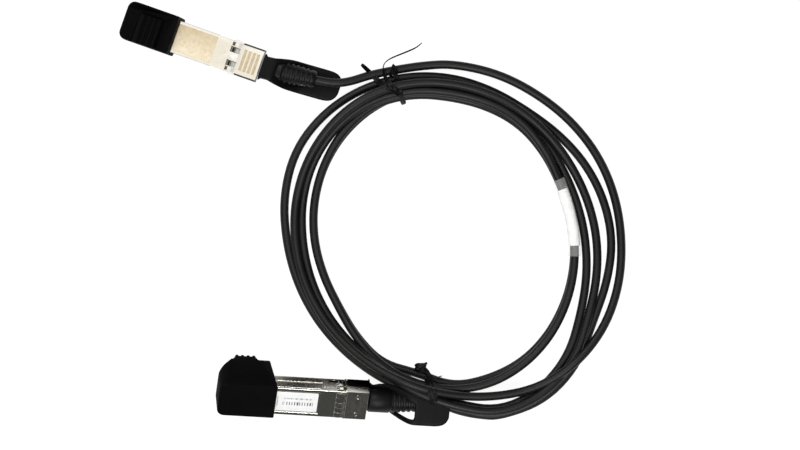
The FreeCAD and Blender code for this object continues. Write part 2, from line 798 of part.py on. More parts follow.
def ring_blank(name, kind, high, low=0.0):
    """an elliptical disc about the coil's centre"""
    ellipse = doc.addObject("Part::Ellipse", name + "Edge")
    ellipse.setExpression("MajorRadius", bound("coil_%s_long" % kind))
    ellipse.setExpression("MinorRadius", bound("coil_%s_short" % kind))
    centre = FreeCAD.Vector(size("coil_centre_x") + size("coil_%s_x" % kind),
                            size("coil_centre_y") + size("coil_%s_y" % kind), low)
    ellipse.Placement = FreeCAD.Placement(centre, FreeCAD.Rotation(size("coil_tilt"), 0, 0))
    disc = doc.addObject("Part::Extrusion", name)
    disc.Base = ellipse
    disc.DirMode = "Custom"
    disc.Dir = FreeCAD.Vector(0, 0, 1)
    disc.Solid = True
    disc.setExpression("LengthFwd", bound(high))
    return disc


def bar(name, long, wide, high, placement, low):
    """a box that starts at the placement, centred across it"""
    block = doc.addObject("Part::Box", name)
    block.setExpression("Length", bound(long))
    block.setExpression("Width", bound(wide))
    block.setExpression("Height", bound(high))
    doc.recompute()
    shift = FreeCAD.Vector(0, -float(block.Width) / 2, low)
    block.Placement = placement * FreeCAD.Placement(shift, FreeCAD.Rotation())
    return block


def polar(turn, radius, level=0.0):
    """a frame at an angle and radius about the coil's centre, x pointing outwards"""
    rotation = FreeCAD.Rotation(turn, 0, 0)
    centre = FreeCAD.Vector(size("coil_centre_x"), size("coil_centre_y"), level)
    return FreeCAD.Placement(centre + rotation.multVec(FreeCAD.Vector(radius, 0, 0)), rotation)


def make_tie(label, name):
    """a wire tie: a flat band round the bundle, lying in a groove under it"""
    inner = size(name + "_inner")
    long = "%s_outer - %s_inner" % (name, name)
    hole = bar(label + "Hole", long, "tie_wide + 2", "coil_high - tie_thick + tie_slack",
               polar(size(name + "_turn"), inner), size("tie_thick"))
    skin = bar(label + "Skin", long + " + 2 * tie_thick", "tie_wide", "coil_high + tie_thick + tie_slack",
               polar(size(name + "_turn"), inner - size("tie_thick")), 0)
    tie = doc.addObject("Part::Cut", label)
    tie.Base = skin
    tie.Tool = hole
    tie.Label = label
    parts[label] = tie
    return tie


def ring_part(label, bore, thick, start, turn, level):
    """a curved sleeve round one strand of the coil"""
    outer = doc.addObject("Part::Torus", label + "Outer")
    inner = doc.addObject("Part::Torus", label + "Inner")
    for torus, radius in ((outer, "%s + %s" % (bore, thick)), (inner, bore)):
        torus.setExpression("Radius1", bound("tag_radius"))
        torus.setExpression("Radius2", bound(radius))
        torus.setExpression("Angle3", bound(turn))
        torus.Placement = polar(start, 0, level)
    sleeve = doc.addObject("Part::Cut", label)
    sleeve.Base = outer
    sleeve.Tool = inner
    sleeve.Label = label
    parts[label] = sleeve
    return sleeve


def make_coil(tools):
    """the coil as one closed ring, with room for all that lies in or under it"""
    outer = ring_blank("CoilOuter", "outer", "coil_high")
    inner = ring_blank("CoilInner", "inner", "coil_high + 2", -1.0)
    ring = doc.addObject("Part::Cut", "CoilRing")
    ring.Base = outer
    ring.Tool = inner
    coil = ring
    for tool in tools:
        whole = coil
        coil = doc.addObject("Part::Cut", "CoilCut")
        coil.Base = whole
        coil.Tool = tool
        coil.Refine = False
    coil.Label = "cable_coil"
    parts["cable_coil"] = coil
    return coil


def lead_rooms(name, points, outward):
    """space along the plan of a lead that runs into the ring, open to the outside"""
    rooms = []
    near_side = size("cord_wide") / 2 + size("lead_gap")
    wide = near_side + size("lead_room")
    for start, end in zip(points[1:], points[2:]):
        way = end - start
        turn = FreeCAD.Rotation(math.degrees(math.atan2(way.y, way.x)), 0, 0)
        shift = FreeCAD.Vector(-size("lead_gap"), outward * (size("lead_room") - near_side) / 2, 0)
        frame = FreeCAD.Placement(FreeCAD.Vector(start.x, start.y, 0) + turn.multVec(shift), turn)
        long = "%.3f + lead_gap + joint_gap" % math.hypot(way.x, way.y)
        rooms.append(bar(name, long, "%.3f" % wide, "coil_high + 2", frame, -1.0))
    return rooms


def plug_room(name, placement, end, near_side):
    """upright space in plan for the tail of the plug that lies under the coil's edge"""
    turn = FreeCAD.Rotation(size("plug_b_yaw"), 0, 0)
    tilt = math.cos(math.radians(size("plug_b_pitch")))
    shift = FreeCAD.Vector(size("room_start") * tilt, (size(near_side) - size("room_far")) / 2, -1.0)
    base = FreeCAD.Vector(placement.Base.x, placement.Base.y, 0)
    frame = FreeCAD.Placement(base + turn.multVec(shift), turn)
    return bar(name, "%s - room_start" % end, "%s + room_far" % near_side, "coil_high + 2", frame, 0)


def check_and_write():
    """stop on a failed object, then write every sub-part"""
    doc.recompute()
    for item in doc.Objects:
        if "Invalid" in item.State or "Error" in item.State:
            raise RuntimeError("%s (%s) failed: %s" % (item.Name, item.Label, item.State))
    os.makedirs("parts", exist_ok=True)
    for label, item in parts.items():
        if item.Shape.isNull() or not item.Shape.isValid():
            raise RuntimeError(label + " has no valid shape")
        item.Shape.exportStep("parts/%s.step" % label)
        print("%s: %d solids, volume %.1f" % (label, len(item.Shape.Solids), item.Shape.Volume))


place_a, exit_a, way_a = make_plug("a")
place_b, exit_b, way_b = make_plug("b")
make_label("b", place_b)

route_a = [exit_a, exit_a + way_a * 6.9]
route_a += [FreeCAD.Vector(*spot) for spot in (
    (27.5, 55.1, 4.7), (36.0, 58.0, 3.4), (46.0, 60.0, 2.3), (57.0, 61.8, 1.85), (67.0, 62.1, 1.8))]
route_b = [exit_b, exit_b + way_b * 7.5]
route_b += [FreeCAD.Vector(*spot) for spot in (
    (74.0, -82.0, 3.4), (81.5, -83.4, 1.9), (88.5, -83.5, 1.8))]
make_lead("cable_lead_a", route_a)
make_lead("cable_lead_b", route_b)

cord_rooms = lead_rooms("LeadRoomA", route_a, 1) + lead_rooms("LeadRoomB", route_b, -1)
top_tie = make_tie("tie_top", "top_tie")
bottom_tie = make_tie("tie_bottom", "bottom_tie")
ring_part("cable_label", "tag_bore", "tag_thick", size("tag_start"), "tag_turn", size("tag_level"))
ring_part("label_sleeve", "sleeve_bore", "sleeve_thick", size("tag_start") - size("sleeve_extra"),
          "tag_turn + 2 * sleeve_extra", size("tag_level"))
ledge = doc.addObject("Part::Cylinder", "Ledge")
ledge.setExpression("Radius", bound("ledge_radius"))
ledge.setExpression("Height", bound("coil_high"))
ledge.setExpression("Angle", bound("tag_turn + 2 * sleeve_extra + 2 * ledge_extra"))
ledge.Placement = polar(size("tag_start") - size("sleeve_extra") - size("ledge_extra"), 0,
                        size("ledge_high"))
plug_rooms = [plug_room("PlugRoom", place_b, "room_end", "room_near"),
              plug_room("NeckRoom", place_b, "neck_room_end", "neck_room_near")]
make_coil(cord_rooms + [top_tie, bottom_tie, ledge] + plug_rooms)
check_and_write()
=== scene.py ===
import math

import bmesh
import bpy
from mathutils import Matrix, Vector


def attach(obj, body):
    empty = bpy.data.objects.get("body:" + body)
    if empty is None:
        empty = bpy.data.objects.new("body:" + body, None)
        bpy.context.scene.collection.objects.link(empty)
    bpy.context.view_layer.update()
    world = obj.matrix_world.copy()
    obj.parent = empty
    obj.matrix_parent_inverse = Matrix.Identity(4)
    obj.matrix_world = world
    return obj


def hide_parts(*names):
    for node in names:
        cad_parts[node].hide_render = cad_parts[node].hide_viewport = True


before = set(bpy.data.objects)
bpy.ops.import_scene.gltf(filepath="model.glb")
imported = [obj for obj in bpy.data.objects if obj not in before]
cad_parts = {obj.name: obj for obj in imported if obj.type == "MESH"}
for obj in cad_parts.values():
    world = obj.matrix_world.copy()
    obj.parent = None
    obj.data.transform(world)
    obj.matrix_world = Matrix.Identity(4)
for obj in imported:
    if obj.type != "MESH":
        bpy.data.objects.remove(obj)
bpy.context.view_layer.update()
mm = 0.001  # sizes below are in millimetres and degrees

cameraSizes = {"x": 48.4, "y": -4.4, "height": 2600.0, "lens": 281.0}

bpy.ops.object.select_all(action="DESELECT")
bpy.ops.object.camera_add(
    location=(cameraSizes["x"] * mm, cameraSizes["y"] * mm, cameraSizes["height"] * mm))
topCamera = bpy.context.object
topCamera.name = "topCamera"
topCamera.rotation_euler = (0, 0, 0)
topCamera.data.lens = cameraSizes["lens"]
topCamera.data.sensor_width = 36.0
topCamera.data.clip_start = 0.01
bpy.context.scene.camera = topCamera
print("camera OK")


# the cable: two leads and five and a half turns on one line
cableSizes = {
    "diameter": 3.6, "length": 2250.0, "centreX": 70.3, "centreY": -11.0,
    "leadA": [(13.42, 55.92, 5.6), (20.14, 54.32, 5.6), (27.5, 55.1, 4.7), (36.0, 58.0, 3.4),
              (46.0, 60.0, 2.3), (57.0, 61.8, 1.85)],
    "leadB": [(81.5, -83.4, 1.9), (74.0, -82.0, 3.4), (65.64, -78.9, 5.56), (58.22, -78.45, 6.6)],
    "turns": [  # how far the cable runs from the middle of the coil, at every hour from twelve
        [73.1, 70.0, 69.7, 70.0, 72.2, 70.2, 63.8, 61.3, 62.5, 65.4, 68.8, 69.6],
        [65.0, 60.4, 58.0, 59.8, 64.4, 73.8, 68.1, 60.8, 60.3, 62.2, 66.6, 67.1],
        [61.3, 57.1, 50.5, 50.4, 53.8, 59.0, 61.7, 59.2, 54.4, 57.3, 61.8, 65.4],
        [59.3, 55.5, 50.5, 50.4, 53.3, 57.8, 60.1, 58.5, 54.4, 57.3, 61.8, 64.7],
        [63.5, 58.8, 54.1, 55.0, 61.0, 71.7, 66.7, 63.8, 64.9, 68.8, 75.1, 73.2],
        [67.5, 61.8, 63.5, 66.1, 66.8, 75.9, 74.4]],
    "halfHours": {(0, 4): 71.8, (1, 4): 70.8, (4, 4): 67.6, (5, 4): 72.6, (0, 5): 66.6,
                  (1, 5): 73.8, (4, 5): 72.8, (2, 5): 61.1, (3, 5): 58.9, (5, 5): 74.9,
                  (3, 6): 56.4},
    "boot": {"angle": 262.0, "spread": 17.0, "high": 8.2, "from": 58.0, "over": 6.0},
}


# two distances an hour; a half hour between the measured ones lies on their curve
def coilDistances(sizes):
    hours = [distance for turn in sizes["turns"] for distance in turn]
    distances = []
    for step in range(len(hours) - 1):
        turn, hour = divmod(step, 12)
        before, here = hours[max(step - 1, 0)], hours[step]
        after, later = hours[step + 1], hours[min(step + 2, len(hours) - 1)]
        between = (9 * here + 9 * after - before - later) / 16
        distances += [here, sizes["halfHours"].get((turn, hour), between)]
    return distances


# worked out from the last turn back, because the later turns lie underneath
def coilHeights(sizes, distances):
    wide, boot = sizes["diameter"], sizes["boot"]
    heights = [0.0] * len(distances)
    for step in reversed(range(len(distances))):
        swing = (90 - 15 * step - boot["angle"] + 180) % 360 - 180
        push = min(1.0, max(0.0, (distances[step] - boot["from"]) / boot["over"]))
        heights[step] = wide / 2 + boot["high"] * math.exp(-(swing / boot["spread"]) ** 2) * push
        for under in range(step + 24, len(distances), 24):
            apart = abs(distances[step] - distances[under])
            if apart < wide:
                heights[step] = max(heights[step], heights[under] + math.sqrt(wide ** 2 - apart ** 2))
    eased = list(heights)
    for step in range(1, len(heights) - 1):
        eased[step] = max(heights[step], (heights[step - 1] + heights[step + 1]) / 2)
    return eased


def coilSpots(sizes):
    distances = coilDistances(sizes)
    heights = coilHeights(sizes, distances)
    inside = 0.75 + 0.25 * math.cos(math.radians(15))  # the line runs inside its own control points
    spots = []
    for step, (distance, height) in enumerate(zip(distances, heights)):
        angle = math.radians(90 - 15 * step)
        spots.append((sizes["centreX"] + distance / inside * math.cos(angle),
                      sizes["centreY"] + distance / inside * math.sin(angle), height))
    return spots


def makeCable(sizes):
    bpy.ops.object.select_all(action="DESELECT")
    bpy.ops.curve.primitive_nurbs_path_add()
    cable = bpy.context.object
    cable.name = "cableRun"
    spots = sizes["leadA"] + coilSpots(sizes) + sizes["leadB"]
    cable.data.splines.clear()
    line = cable.data.splines.new("NURBS")
    line.points.add(len(spots) - 1)
    for point, spot in zip(line.points, spots):
        point.co = (spot[0] * mm, spot[1] * mm, spot[2] * mm, 1.0)
    line.order_u = 3
    line.use_endpoint_u = True
    line.resolution_u = 6
    cable.data.dimensions = "3D"
    cable.location = (0, 0, 0)
    bpy.context.view_layer.update()
    bare = bpy.data.meshes.new_from_object(cable.evaluated_get(bpy.context.evaluated_depsgraph_get()))
    centreLine = [vertex.co.copy() for vertex in bare.vertices]
    bpy.data.meshes.remove(bare)
    cable.data.bevel_depth = sizes["diameter"] / 2 * mm
    cable.data.bevel_resolution = 6
    cable.data.use_fill_caps = True
    return cable, centreLine


cableRun, cableLine = makeCable(cableSizes)
print("cable OK", len(cableLine))


# surface effects that several finishes share
def newGroup(name, inputs, outputs):
    group = bpy.data.node_groups.new(name, "ShaderNodeTree")
    for socket, kind, value in inputs:
        made = group.interface.new_socket(name=socket, in_out="INPUT", socket_type=kind)
        if value is not None:
            made.default_value = value
    for socket, kind in outputs:
        group.interface.new_socket(name=socket, in_out="OUTPUT", socket_type=kind)
    return group, group.nodes.new("NodeGroupInput"), group.nodes.new("NodeGroupOutput")


def join(tree, start, end):
    tree.links.new(start, end)


def addNode(tree, kind, **values):
    node = tree.nodes.new("ShaderNode" + kind)
    for name, value in values.items():
        node.inputs[name].default_value = value
    return node


def addMath(tree, operation, first, second):
    node = addNode(tree, "Math")
    node.operation = operation
    for socket, value in zip(node.inputs, (first, second)):
        if isinstance(value, (int, float)):
            socket.default_value = value
        else:
            join(tree, value, socket)
    return node.outputs[0]


# fine moulded grain with slow patches of tone
def makeGrainGroup():
    group, start, end = newGroup(
        "mouldedGrain",
        [("place", "NodeSocketVector", None), ("grain", "NodeSocketFloat", 2500.0),
         ("patch", "NodeSocketFloat", 120.0)],
        [("height", "NodeSocketFloat"), ("tone", "NodeSocketFloat")])
    fine = addNode(group, "TexNoise", Detail=3.0, Roughness=0.6)
    cells = addNode(group, "TexVoronoi")
    cells.feature = "SMOOTH_F1"
    slow = addNode(group, "TexNoise", Detail=4.0)
    for node in (fine, cells, slow):
        join(group, start.outputs["place"], node.inputs["Vector"])
    join(group, start.outputs["grain"], fine.inputs["Scale"])
    join(group, start.outputs["grain"], cells.inputs["Scale"])
    join(group, start.outputs["patch"], slow.inputs["Scale"])
    mixed = addMath(group, "MULTIPLY_ADD", cells.outputs["Distance"], 0.6)
    join(group, fine.outputs["Fac"], mixed.node.inputs[2])
    join(group, mixed, end.inputs["height"])
    join(group, slow.outputs["Fac"], end.inputs["tone"])
    return group


# thin crossing hairlines and duller smudges on metal
def makeScratchGroup():
    group, start, end = newGroup(
        "handlingMarks",
        [("place", "NodeSocketVector", None), ("fineness", "NodeSocketFloat", 300.0)],
        [("lines", "NodeSocketFloat"), ("smudge", "NodeSocketFloat")])
    total = None
    for turn, stretch in ((0.4, (1.0, 22.0, 1.0)), (-0.7, (1.0, 30.0, 1.0))):
        turned = addNode(group, "Mapping", Rotation=(0, 0, turn), Scale=stretch)
        join(group, start.outputs["place"], turned.inputs["Vector"])
        noise = addNode(group, "TexNoise", Detail=2.0)
        join(group, turned.outputs["Vector"], noise.inputs["Vector"])
        join(group, start.outputs["fineness"], noise.inputs["Scale"])
        cut = addNode(group, "MapRange", **{"From Min": 0.66, "From Max": 0.86})
        join(group, noise.outputs["Fac"], cut.inputs["Value"])
        lines = cut.outputs["Result"]
        total = lines if total is None else addMath(group, "MAXIMUM", total, lines)
    smudge = addNode(group, "TexNoise", Scale=160.0, Detail=5.0, Roughness=0.65)
    join(group, start.outputs["place"], smudge.inputs["Vector"])
    join(group, total, end.inputs["lines"])
    join(group, smudge.outputs["Fac"], end.inputs["smudge"])
    return group


# where edges stick out, broken up by noise
def makeWearGroup():
    group, start, end = newGroup(
        "edgeRub", [("place", "NodeSocketVector", None), ("reach", "NodeSocketFloat", 0.5)],
        [("mask", "NodeSocketFloat")])
    shape = addNode(group, "NewGeometry")
    rough = addNode(group, "TexNoise", Scale=900.0, Detail=3.0)
    join(group, start.outputs["place"], rough.inputs["Vector"])
    low = addMath(group, "SUBTRACT", shape.outputs["Pointiness"], start.outputs["reach"])
    spread = addMath(group, "MULTIPLY", low, 14.0)
    broken = addMath(group, "MULTIPLY", spread, rough.outputs["Fac"])
    held = addMath(group, "MINIMUM", broken, 1.0)
    join(group, addMath(group, "MAXIMUM", held, 0.0), end.inputs["mask"])
    return group


grainGroup, scratchGroup, wearGroup = makeGrainGroup(), makeScratchGroup(), makeWearGroup()


def startMaterial(name, metallic=0.0):
    made = bpy.data.materials.new(name)
    made.use_nodes = True
    tree = made.node_tree
    shader = tree.nodes["Principled BSDF"]
    shader.inputs["Metallic"].default_value = metallic
    place = addNode(tree, "TexCoord")
    return made, tree, shader, place


def useGroup(tree, group, place, **values):
    node = addNode(tree, "Group")
    node.node_tree = group
    join(tree, place, node.inputs["place"])
    for name, value in values.items():
        node.inputs[name].default_value = value
    return node


def blendColours(tree, amount, first, second):
    node = addNode(tree, "Mix")
    node.data_type = "RGBA"
    join(tree, amount, node.inputs[0])
    for socket, value in zip((node.inputs[6], node.inputs[7]), (first, second)):
        if isinstance(value, tuple):
            socket.default_value = (*value, 1.0)
        else:
            join(tree, value, socket)
    return node.outputs[2]


def mapTo(tree, value, low, high, fromLow=0.3, fromHigh=0.7):
    node = addNode(tree, "MapRange", **{
        "From Min": fromLow, "From Max": fromHigh, "To Min": low, "To Max": high})
    join(tree, value, node.inputs["Value"])
    return node.outputs["Result"]


def addBump(tree, shader, height, strength, distance):
    node = addNode(tree, "Bump", Strength=strength, Distance=distance)
    join(tree, height, node.inputs["Height"])
    join(tree, node.outputs["Normal"], shader.inputs["Normal"])


# the grain with its blended tone and its bump, in every finish alike
def addGrain(tree, shader, place, look, deep):
    grain = useGroup(tree, grainGroup, place.outputs["Object"], grain=look["grain"], patch=look["patch"])
    addBump(tree, shader, grain.outputs["height"], look["bump"], deep)
    tone = mapTo(tree, grain.outputs["tone"], 0.0, 1.0)
    return grain.outputs["tone"], blendColours(tree, tone, look["dark"], look["light"])


def addRoughness(tree, shader, amount, look):
    join(tree, mapTo(tree, amount, look["smooth"], look["rough"]), shader.inputs["Roughness"])


def makeRubber(name, look):
    made, tree, shader, place = startMaterial(name)
    slow, tone = addGrain(tree, shader, place, look, 0.1 * mm)
    wear = useGroup(tree, wearGroup, place.outputs["Object"], reach=look["reach"])
    join(tree, blendColours(tree, wear.outputs["mask"], tone, look["edge"]), shader.inputs["Base Color"])
    addRoughness(tree, shader, slow, look)
    shader.inputs["Specular IOR Level"].default_value = look["gloss"]
    return made


metalReach = 0.51  # how far an edge has to stick out before it is rubbed bright; on the latch steel and the dark side strips this bright edge is a painted highlight


def makeMetal(name, look):
    made, tree, shader, place = startMaterial(name, 1.0)
    marks = useGroup(tree, scratchGroup, place.outputs["Object"], fineness=look["fineness"])
    wear = useGroup(tree, wearGroup, place.outputs["Object"], reach=metalReach)
    slow, tone = addGrain(tree, shader, place, look, 0.05 * mm)
    rubbed = blendColours(tree, wear.outputs["mask"], tone, look["edge"])
    marked = blendColours(tree, marks.outputs["lines"], rubbed, look["scratch"])
    join(tree, marked, shader.inputs["Base Color"])
    addRoughness(tree, shader, marks.outputs["smudge"], look)
    return made


rubberLooks = {
    "capRubber": {
        "grain": 2600.0, "patch": 90.0, "reach": 0.52, "dark": (0.0012, 0.0012, 0.0013),
        "light": (0.0026, 0.0026, 0.0028), "edge": (0.008, 0.008, 0.008), "smooth": 0.55,
        "rough": 0.72, "gloss": 0.022, "bump": 0.35},
    "tabRubber": {
        "grain": 1900.0, "patch": 140.0, "reach": 0.53, "dark": (0.0022, 0.0022, 0.0022),
        "light": (0.004, 0.004, 0.004), "edge": (0.012, 0.012, 0.012), "smooth": 0.42,
        "rough": 0.58, "gloss": 0.09, "bump": 0.2},
    "bootRubber": {
        "grain": 2200.0, "patch": 160.0, "reach": 0.53, "dark": (0.003, 0.003, 0.0032),
        "light": (0.0052, 0.0052, 0.0055), "edge": (0.014, 0.014, 0.014), "smooth": 0.38,
        "rough": 0.52, "gloss": 0.16, "bump": 0.2},
    "cordJacket": {
        "grain": 1500.0, "patch": 70.0, "reach": 0.6, "dark": (0.0038, 0.0038, 0.0038),
        "light": (0.0068, 0.0068, 0.0068), "edge": (0.014, 0.014, 0.014), "smooth": 0.42,
        "rough": 0.54, "gloss": 0.26, "bump": 0.12},
    "tiePlastic": {
        "grain": 3000.0, "patch": 400.0, "reach": 0.53, "dark": (0.0016, 0.0016, 0.0016),
        "light": (0.004, 0.004, 0.004), "edge": (0.012, 0.012, 0.012), "smooth": 0.36,
        "rough": 0.55, "gloss": 0.12, "bump": 0.3},
    "cardGreen": {
        "grain": 2400.0, "patch": 600.0, "reach": 0.53, "dark": (0.005, 0.04, 0.018),
        "light": (0.012, 0.075, 0.035), "edge": (0.25, 0.22, 0.12), "smooth": 0.25, "rough": 0.4,
        "gloss": 0.5, "bump": 0.3},
}
metalLooks = {
    "nickelShell": {
        "fineness": 260.0, "grain": 1800.0, "patch": 260.0, "dark": (0.80, 0.74, 0.62),
        "light": (0.87, 0.82, 0.71), "edge": (0.97, 0.95, 0.9), "scratch": (0.96, 0.94, 0.89),
        "smooth": 0.16, "rough": 0.2, "bump": 0.02},
    "panelNickel": {
        "fineness": 200.0, "grain": 1500.0, "patch": 620.0, "dark": (0.52, 0.415, 0.265),
        "light": (0.65, 0.54, 0.36), "edge": (0.86, 0.76, 0.58), "scratch": (0.70, 0.59, 0.41),
        "smooth": 0.24, "rough": 0.3, "bump": 0.06},
    "brightNickel": {
        "fineness": 320.0, "grain": 2500.0, "patch": 300.0, "dark": (0.80, 0.78, 0.72),
        "light": (0.94, 0.92, 0.87), "edge": (0.98, 0.97, 0.95), "scratch": (0.98, 0.97, 0.94),
        "smooth": 0.12, "rough": 0.17, "bump": 0.02},
    # dark strips on the plug's side walls: a painted dark reflection, with a bright edge colour that
    # paints highlight lines
    "sideShadeSteel": {
        "fineness": 260.0, "grain": 1800.0, "patch": 200.0, "dark": (0.15, 0.145, 0.125),
        "light": (0.22, 0.21, 0.185), "edge": (0.9, 0.87, 0.8), "scratch": (0.26, 0.25, 0.22),
        "smooth": 0.16, "rough": 0.22, "bump": 0.02},
    # near-black: a painted dark reflection on the polished latch, with a brighter edge colour that paints
    # highlight lines
    "latchSteel": {
        "fineness": 400.0, "grain": 2500.0, "patch": 260.0, "dark": (0.035, 0.035, 0.033),
        "light": (0.06, 0.06, 0.057), "edge": (0.2, 0.2, 0.19), "scratch": (0.08, 0.08, 0.078),
        "smooth": 0.08, "rough": 0.13, "bump": 0.01},
    "coverNickel": {
        "fineness": 260.0, "grain": 2400.0, "patch": 240.0, "dark": (0.60, 0.60, 0.54),
        "light": (0.66, 0.66, 0.60), "edge": (0.95, 0.94, 0.9), "scratch": (0.70, 0.70, 0.64),
        "smooth": 0.18, "rough": 0.22, "bump": 0.02},
    "brass": {
        "fineness": 260.0, "grain": 2400.0, "patch": 300.0, "dark": (0.60, 0.45, 0.20),
        "light": (0.78, 0.62, 0.32), "edge": (0.9, 0.8, 0.5), "scratch": (0.85, 0.72, 0.45),
        "smooth": 0.25, "rough": 0.4, "bump": 0.1},
    "gold": {
        "fineness": 500.0, "grain": 2600.0, "patch": 500.0, "dark": (0.80, 0.58, 0.22),
        "light": (0.95, 0.74, 0.35), "edge": (1.0, 0.85, 0.5), "scratch": (0.95, 0.8, 0.5),
        "smooth": 0.15, "rough": 0.3, "bump": 0.05},
    "foil": {
        "fineness": 300.0, "grain": 1300.0, "patch": 500.0, "dark": (0.62, 0.63, 0.65),
        "light": (0.85, 0.86, 0.88), "edge": (0.95, 0.95, 0.95), "scratch": (0.9, 0.9, 0.9),
        "smooth": 0.15, "rough": 0.4, "bump": 0.9},
}
finishes = {name: makeRubber(name, look) for name, look in rubberLooks.items()}
finishes.update({name: makeMetal(name, look) for name, look in metalLooks.items()})


# a mask of short printed bars in one row of a label
def addPrintRow(tree, along, up, row):
    count, seed, middle, tall, centre, long, ink = row
    cells = addMath(tree, "MULTIPLY", along, count)
    step = addMath(tree, "FLOOR", cells, 0)
    noise = addNode(tree, "TexWhiteNoise")
    noise.noise_dimensions = "1D"
    join(tree, addMath(tree, "ADD", step, seed), noise.inputs["W"])
    wide = mapTo(tree, noise.outputs["Value"], 0.15, 0.8, 0.0, 1.0)
    bar = addMath(tree, "LESS_THAN", addMath(tree, "FRACT", cells, 0), wide)
    inRow = addMath(tree, "COMPARE", up, middle)
    inRow.node.inputs[2].default_value = tall / 2
    inSpan = addMath(tree, "COMPARE", along, centre)
    inSpan.node.inputs[2].default_value = long / 2
    bars = addMath(tree, "MULTIPLY", addMath(tree, "MULTIPLY", bar, inRow), inSpan)
    return addMath(tree, "MULTIPLY", bars, ink)


def makePaper(name, look):
    made, tree, shader, place = startMaterial(name)
    slow, sheet = addGrain(tree, shader, place, look, 0.05 * mm)
    parts = addNode(tree, "SeparateXYZ")
    join(tree, place.outputs["UV"], parts.inputs["Vector"])
    ink = None
    for row in look["rows"]:
        mask = addPrintRow(tree, parts.outputs["X"], parts.outputs["Y"], row)
        ink = mask if ink is None else addMath(tree, "MAXIMUM", ink, mask)
    join(tree, blendColours(tree, ink, sheet, look["print"]), shader.inputs["Base Color"])
    addRoughness(tree, shader, slow, look)
    return made


paperLooks = {
    "plugPaper": {
        "grain": 3200.0, "patch": 300.0, "bump": 0.15, "dark": (0.80, 0.80, 0.80),
        "light": (0.88, 0.88, 0.88), "print": (0.02, 0.02, 0.02), "smooth": 0.35, "rough": 0.5,
        "rows": [
            # bars a length, order of the bars, middle, height, centre and length of the row, ink
            (30.0, 3.0, 0.6, 0.17, 0.745, 0.39, 0.9),
            (60.0, 11.0, 0.34, 0.08, 0.74, 0.36, 0.75),
            (40.0, 5.0, 0.5, 0.5, 0.475, 0.04, 0.6)]},
    "tagPaper": {
        "grain": 3200.0, "patch": 300.0, "bump": 0.15, "dark": (0.84, 0.84, 0.82),
        "light": (0.90, 0.90, 0.88), "print": (0.25, 0.25, 0.24), "smooth": 0.4, "rough": 0.55,
        "rows": [(30.0, 2.0, 0.5, 0.05, 0.45, 0.62, 0.55), (22.0, 7.0, 0.62, 0.04, 0.4, 0.3, 0.35)]},
}
finishes.update({name: makePaper(name, look) for name, look in paperLooks.items()})


# clear film: mostly see-through, with a grey edge and a sharp shine
def makeFilm(name, look):
    made, tree, shader, place = startMaterial(name)
    grain = useGroup(tree, grainGroup, place.outputs["Object"], grain=look["grain"], patch=look["patch"])
    shader.inputs["Base Color"].default_value = (*look["colour"], 1.0)
    shader.inputs["IOR"].default_value = look["bending"]
    addRoughness(tree, shader, grain.outputs["tone"], look)
    join(tree, mapTo(tree, grain.outputs["tone"], look["thin"], look["thick"]), shader.inputs["Alpha"])
    addBump(tree, shader, grain.outputs["height"], look["bump"], 0.1 * mm)
    return made


finishes["clearFilm"] = makeFilm("clearFilm", {
    "grain": 700.0, "patch": 200.0, "bump": 0.1, "colour": (0.9, 0.9, 0.9), "bending": 1.45,
    "smooth": 0.05, "rough": 0.14, "thin": 0.07, "thick": 0.12})
print("finishes OK", len(finishes))


# hand tools for the pieces
def clearChoice():
    if bpy.context.mode != "OBJECT":
        bpy.ops.object.mode_set(mode="OBJECT")
    bpy.ops.object.select_all(action="DESELECT")


def choose(piece):
    clearChoice()
    piece.select_set(True)
    bpy.context.view_layer.objects.active = piece


def startBox(name, low, high):
    clearChoice()
    bpy.ops.mesh.primitive_cube_add(size=1.0, location=[(a + b) / 2 for a, b in zip(low, high)])
    piece = bpy.context.object
    piece.name = name
    piece.scale = [b - a for a, b in zip(low, high)]
    bpy.ops.object.transform_apply(location=True, rotation=True, scale=True)
    return piece


# chooses the vertices, edges or faces in edit mode that pass a test of their middle and direction
def pick(piece, kind, test):
    if bpy.context.mode != "EDIT_MESH":
        choose(piece)
        bpy.ops.object.mode_set(mode="EDIT")
    bpy.ops.mesh.select_mode(type=kind)
    bpy.ops.mesh.select_all(action="DESELECT")
    form = bmesh.from_edit_mesh(piece.data)
    if kind == "VERT":
        for vertex in form.verts:
            vertex.select_set(test(vertex.co, None))
    elif kind == "EDGE":
        for edge in form.edges:
            first, second = (vertex.co for vertex in edge.verts)
            edge.select_set(test((first + second) / 2, (second - first).normalized()))
    else:
        for face in form.faces:
            face.select_set(test(face.calc_center_median(), face.normal))
    bmesh.update_edit_mesh(piece.data)


def finishModifier(piece, kind, **values):
    choose(piece)
    tool = piece.modifiers.new(kind.lower(), kind)
    for name, value in values.items():
        setattr(tool, name, value)
    bpy.ops.object.modifier_apply(modifier=tool.name)


def carve(piece, cutter, operation="DIFFERENCE"):
    finishModifier(piece, "BOOLEAN", object=cutter, operation=operation, solver="EXACT")
    bpy.data.objects.remove(cutter)


def roundEdges(piece, wide, segments=3, angle=35.0):
    finishModifier(piece, "BEVEL", width=wide, segments=segments, limit_method="ANGLE",
                   angle_limit=math.radians(angle), use_clamp_overlap=True, miter_outer="MITER_ARC")


def smoothPiece(piece, angle=40.0):
    choose(piece)
    bpy.ops.object.shade_smooth_by_angle(angle=math.radians(angle))


# puts a finished piece where its plug is and hands it to the frame
def settle(piece, place, finish, body, slotName, *nodes):
    choose(piece)
    piece.matrix_world = place
    bpy.ops.object.transform_apply(location=True, rotation=True, scale=True)
    piece.data.materials.clear()
    piece.data.materials.append(finishes[finish])
    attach(piece, body)
    if nodes:
        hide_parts(*nodes)


def near(value, target, slack=0.02):
    return abs(value - target) < slack


# where the two plugs lie: the front of the metal is the plug's own zero
plugPlaces = {
    "a": {"spot": (-63.2, 80.3, 5.6), "yaw": -19.4, "pitch": 0.0, "roll": 0.0},
    "b": {"spot": (-21.3458, -73.5843, 17.8073), "yaw": -3.5, "pitch": 8.0, "roll": -145.0},
}


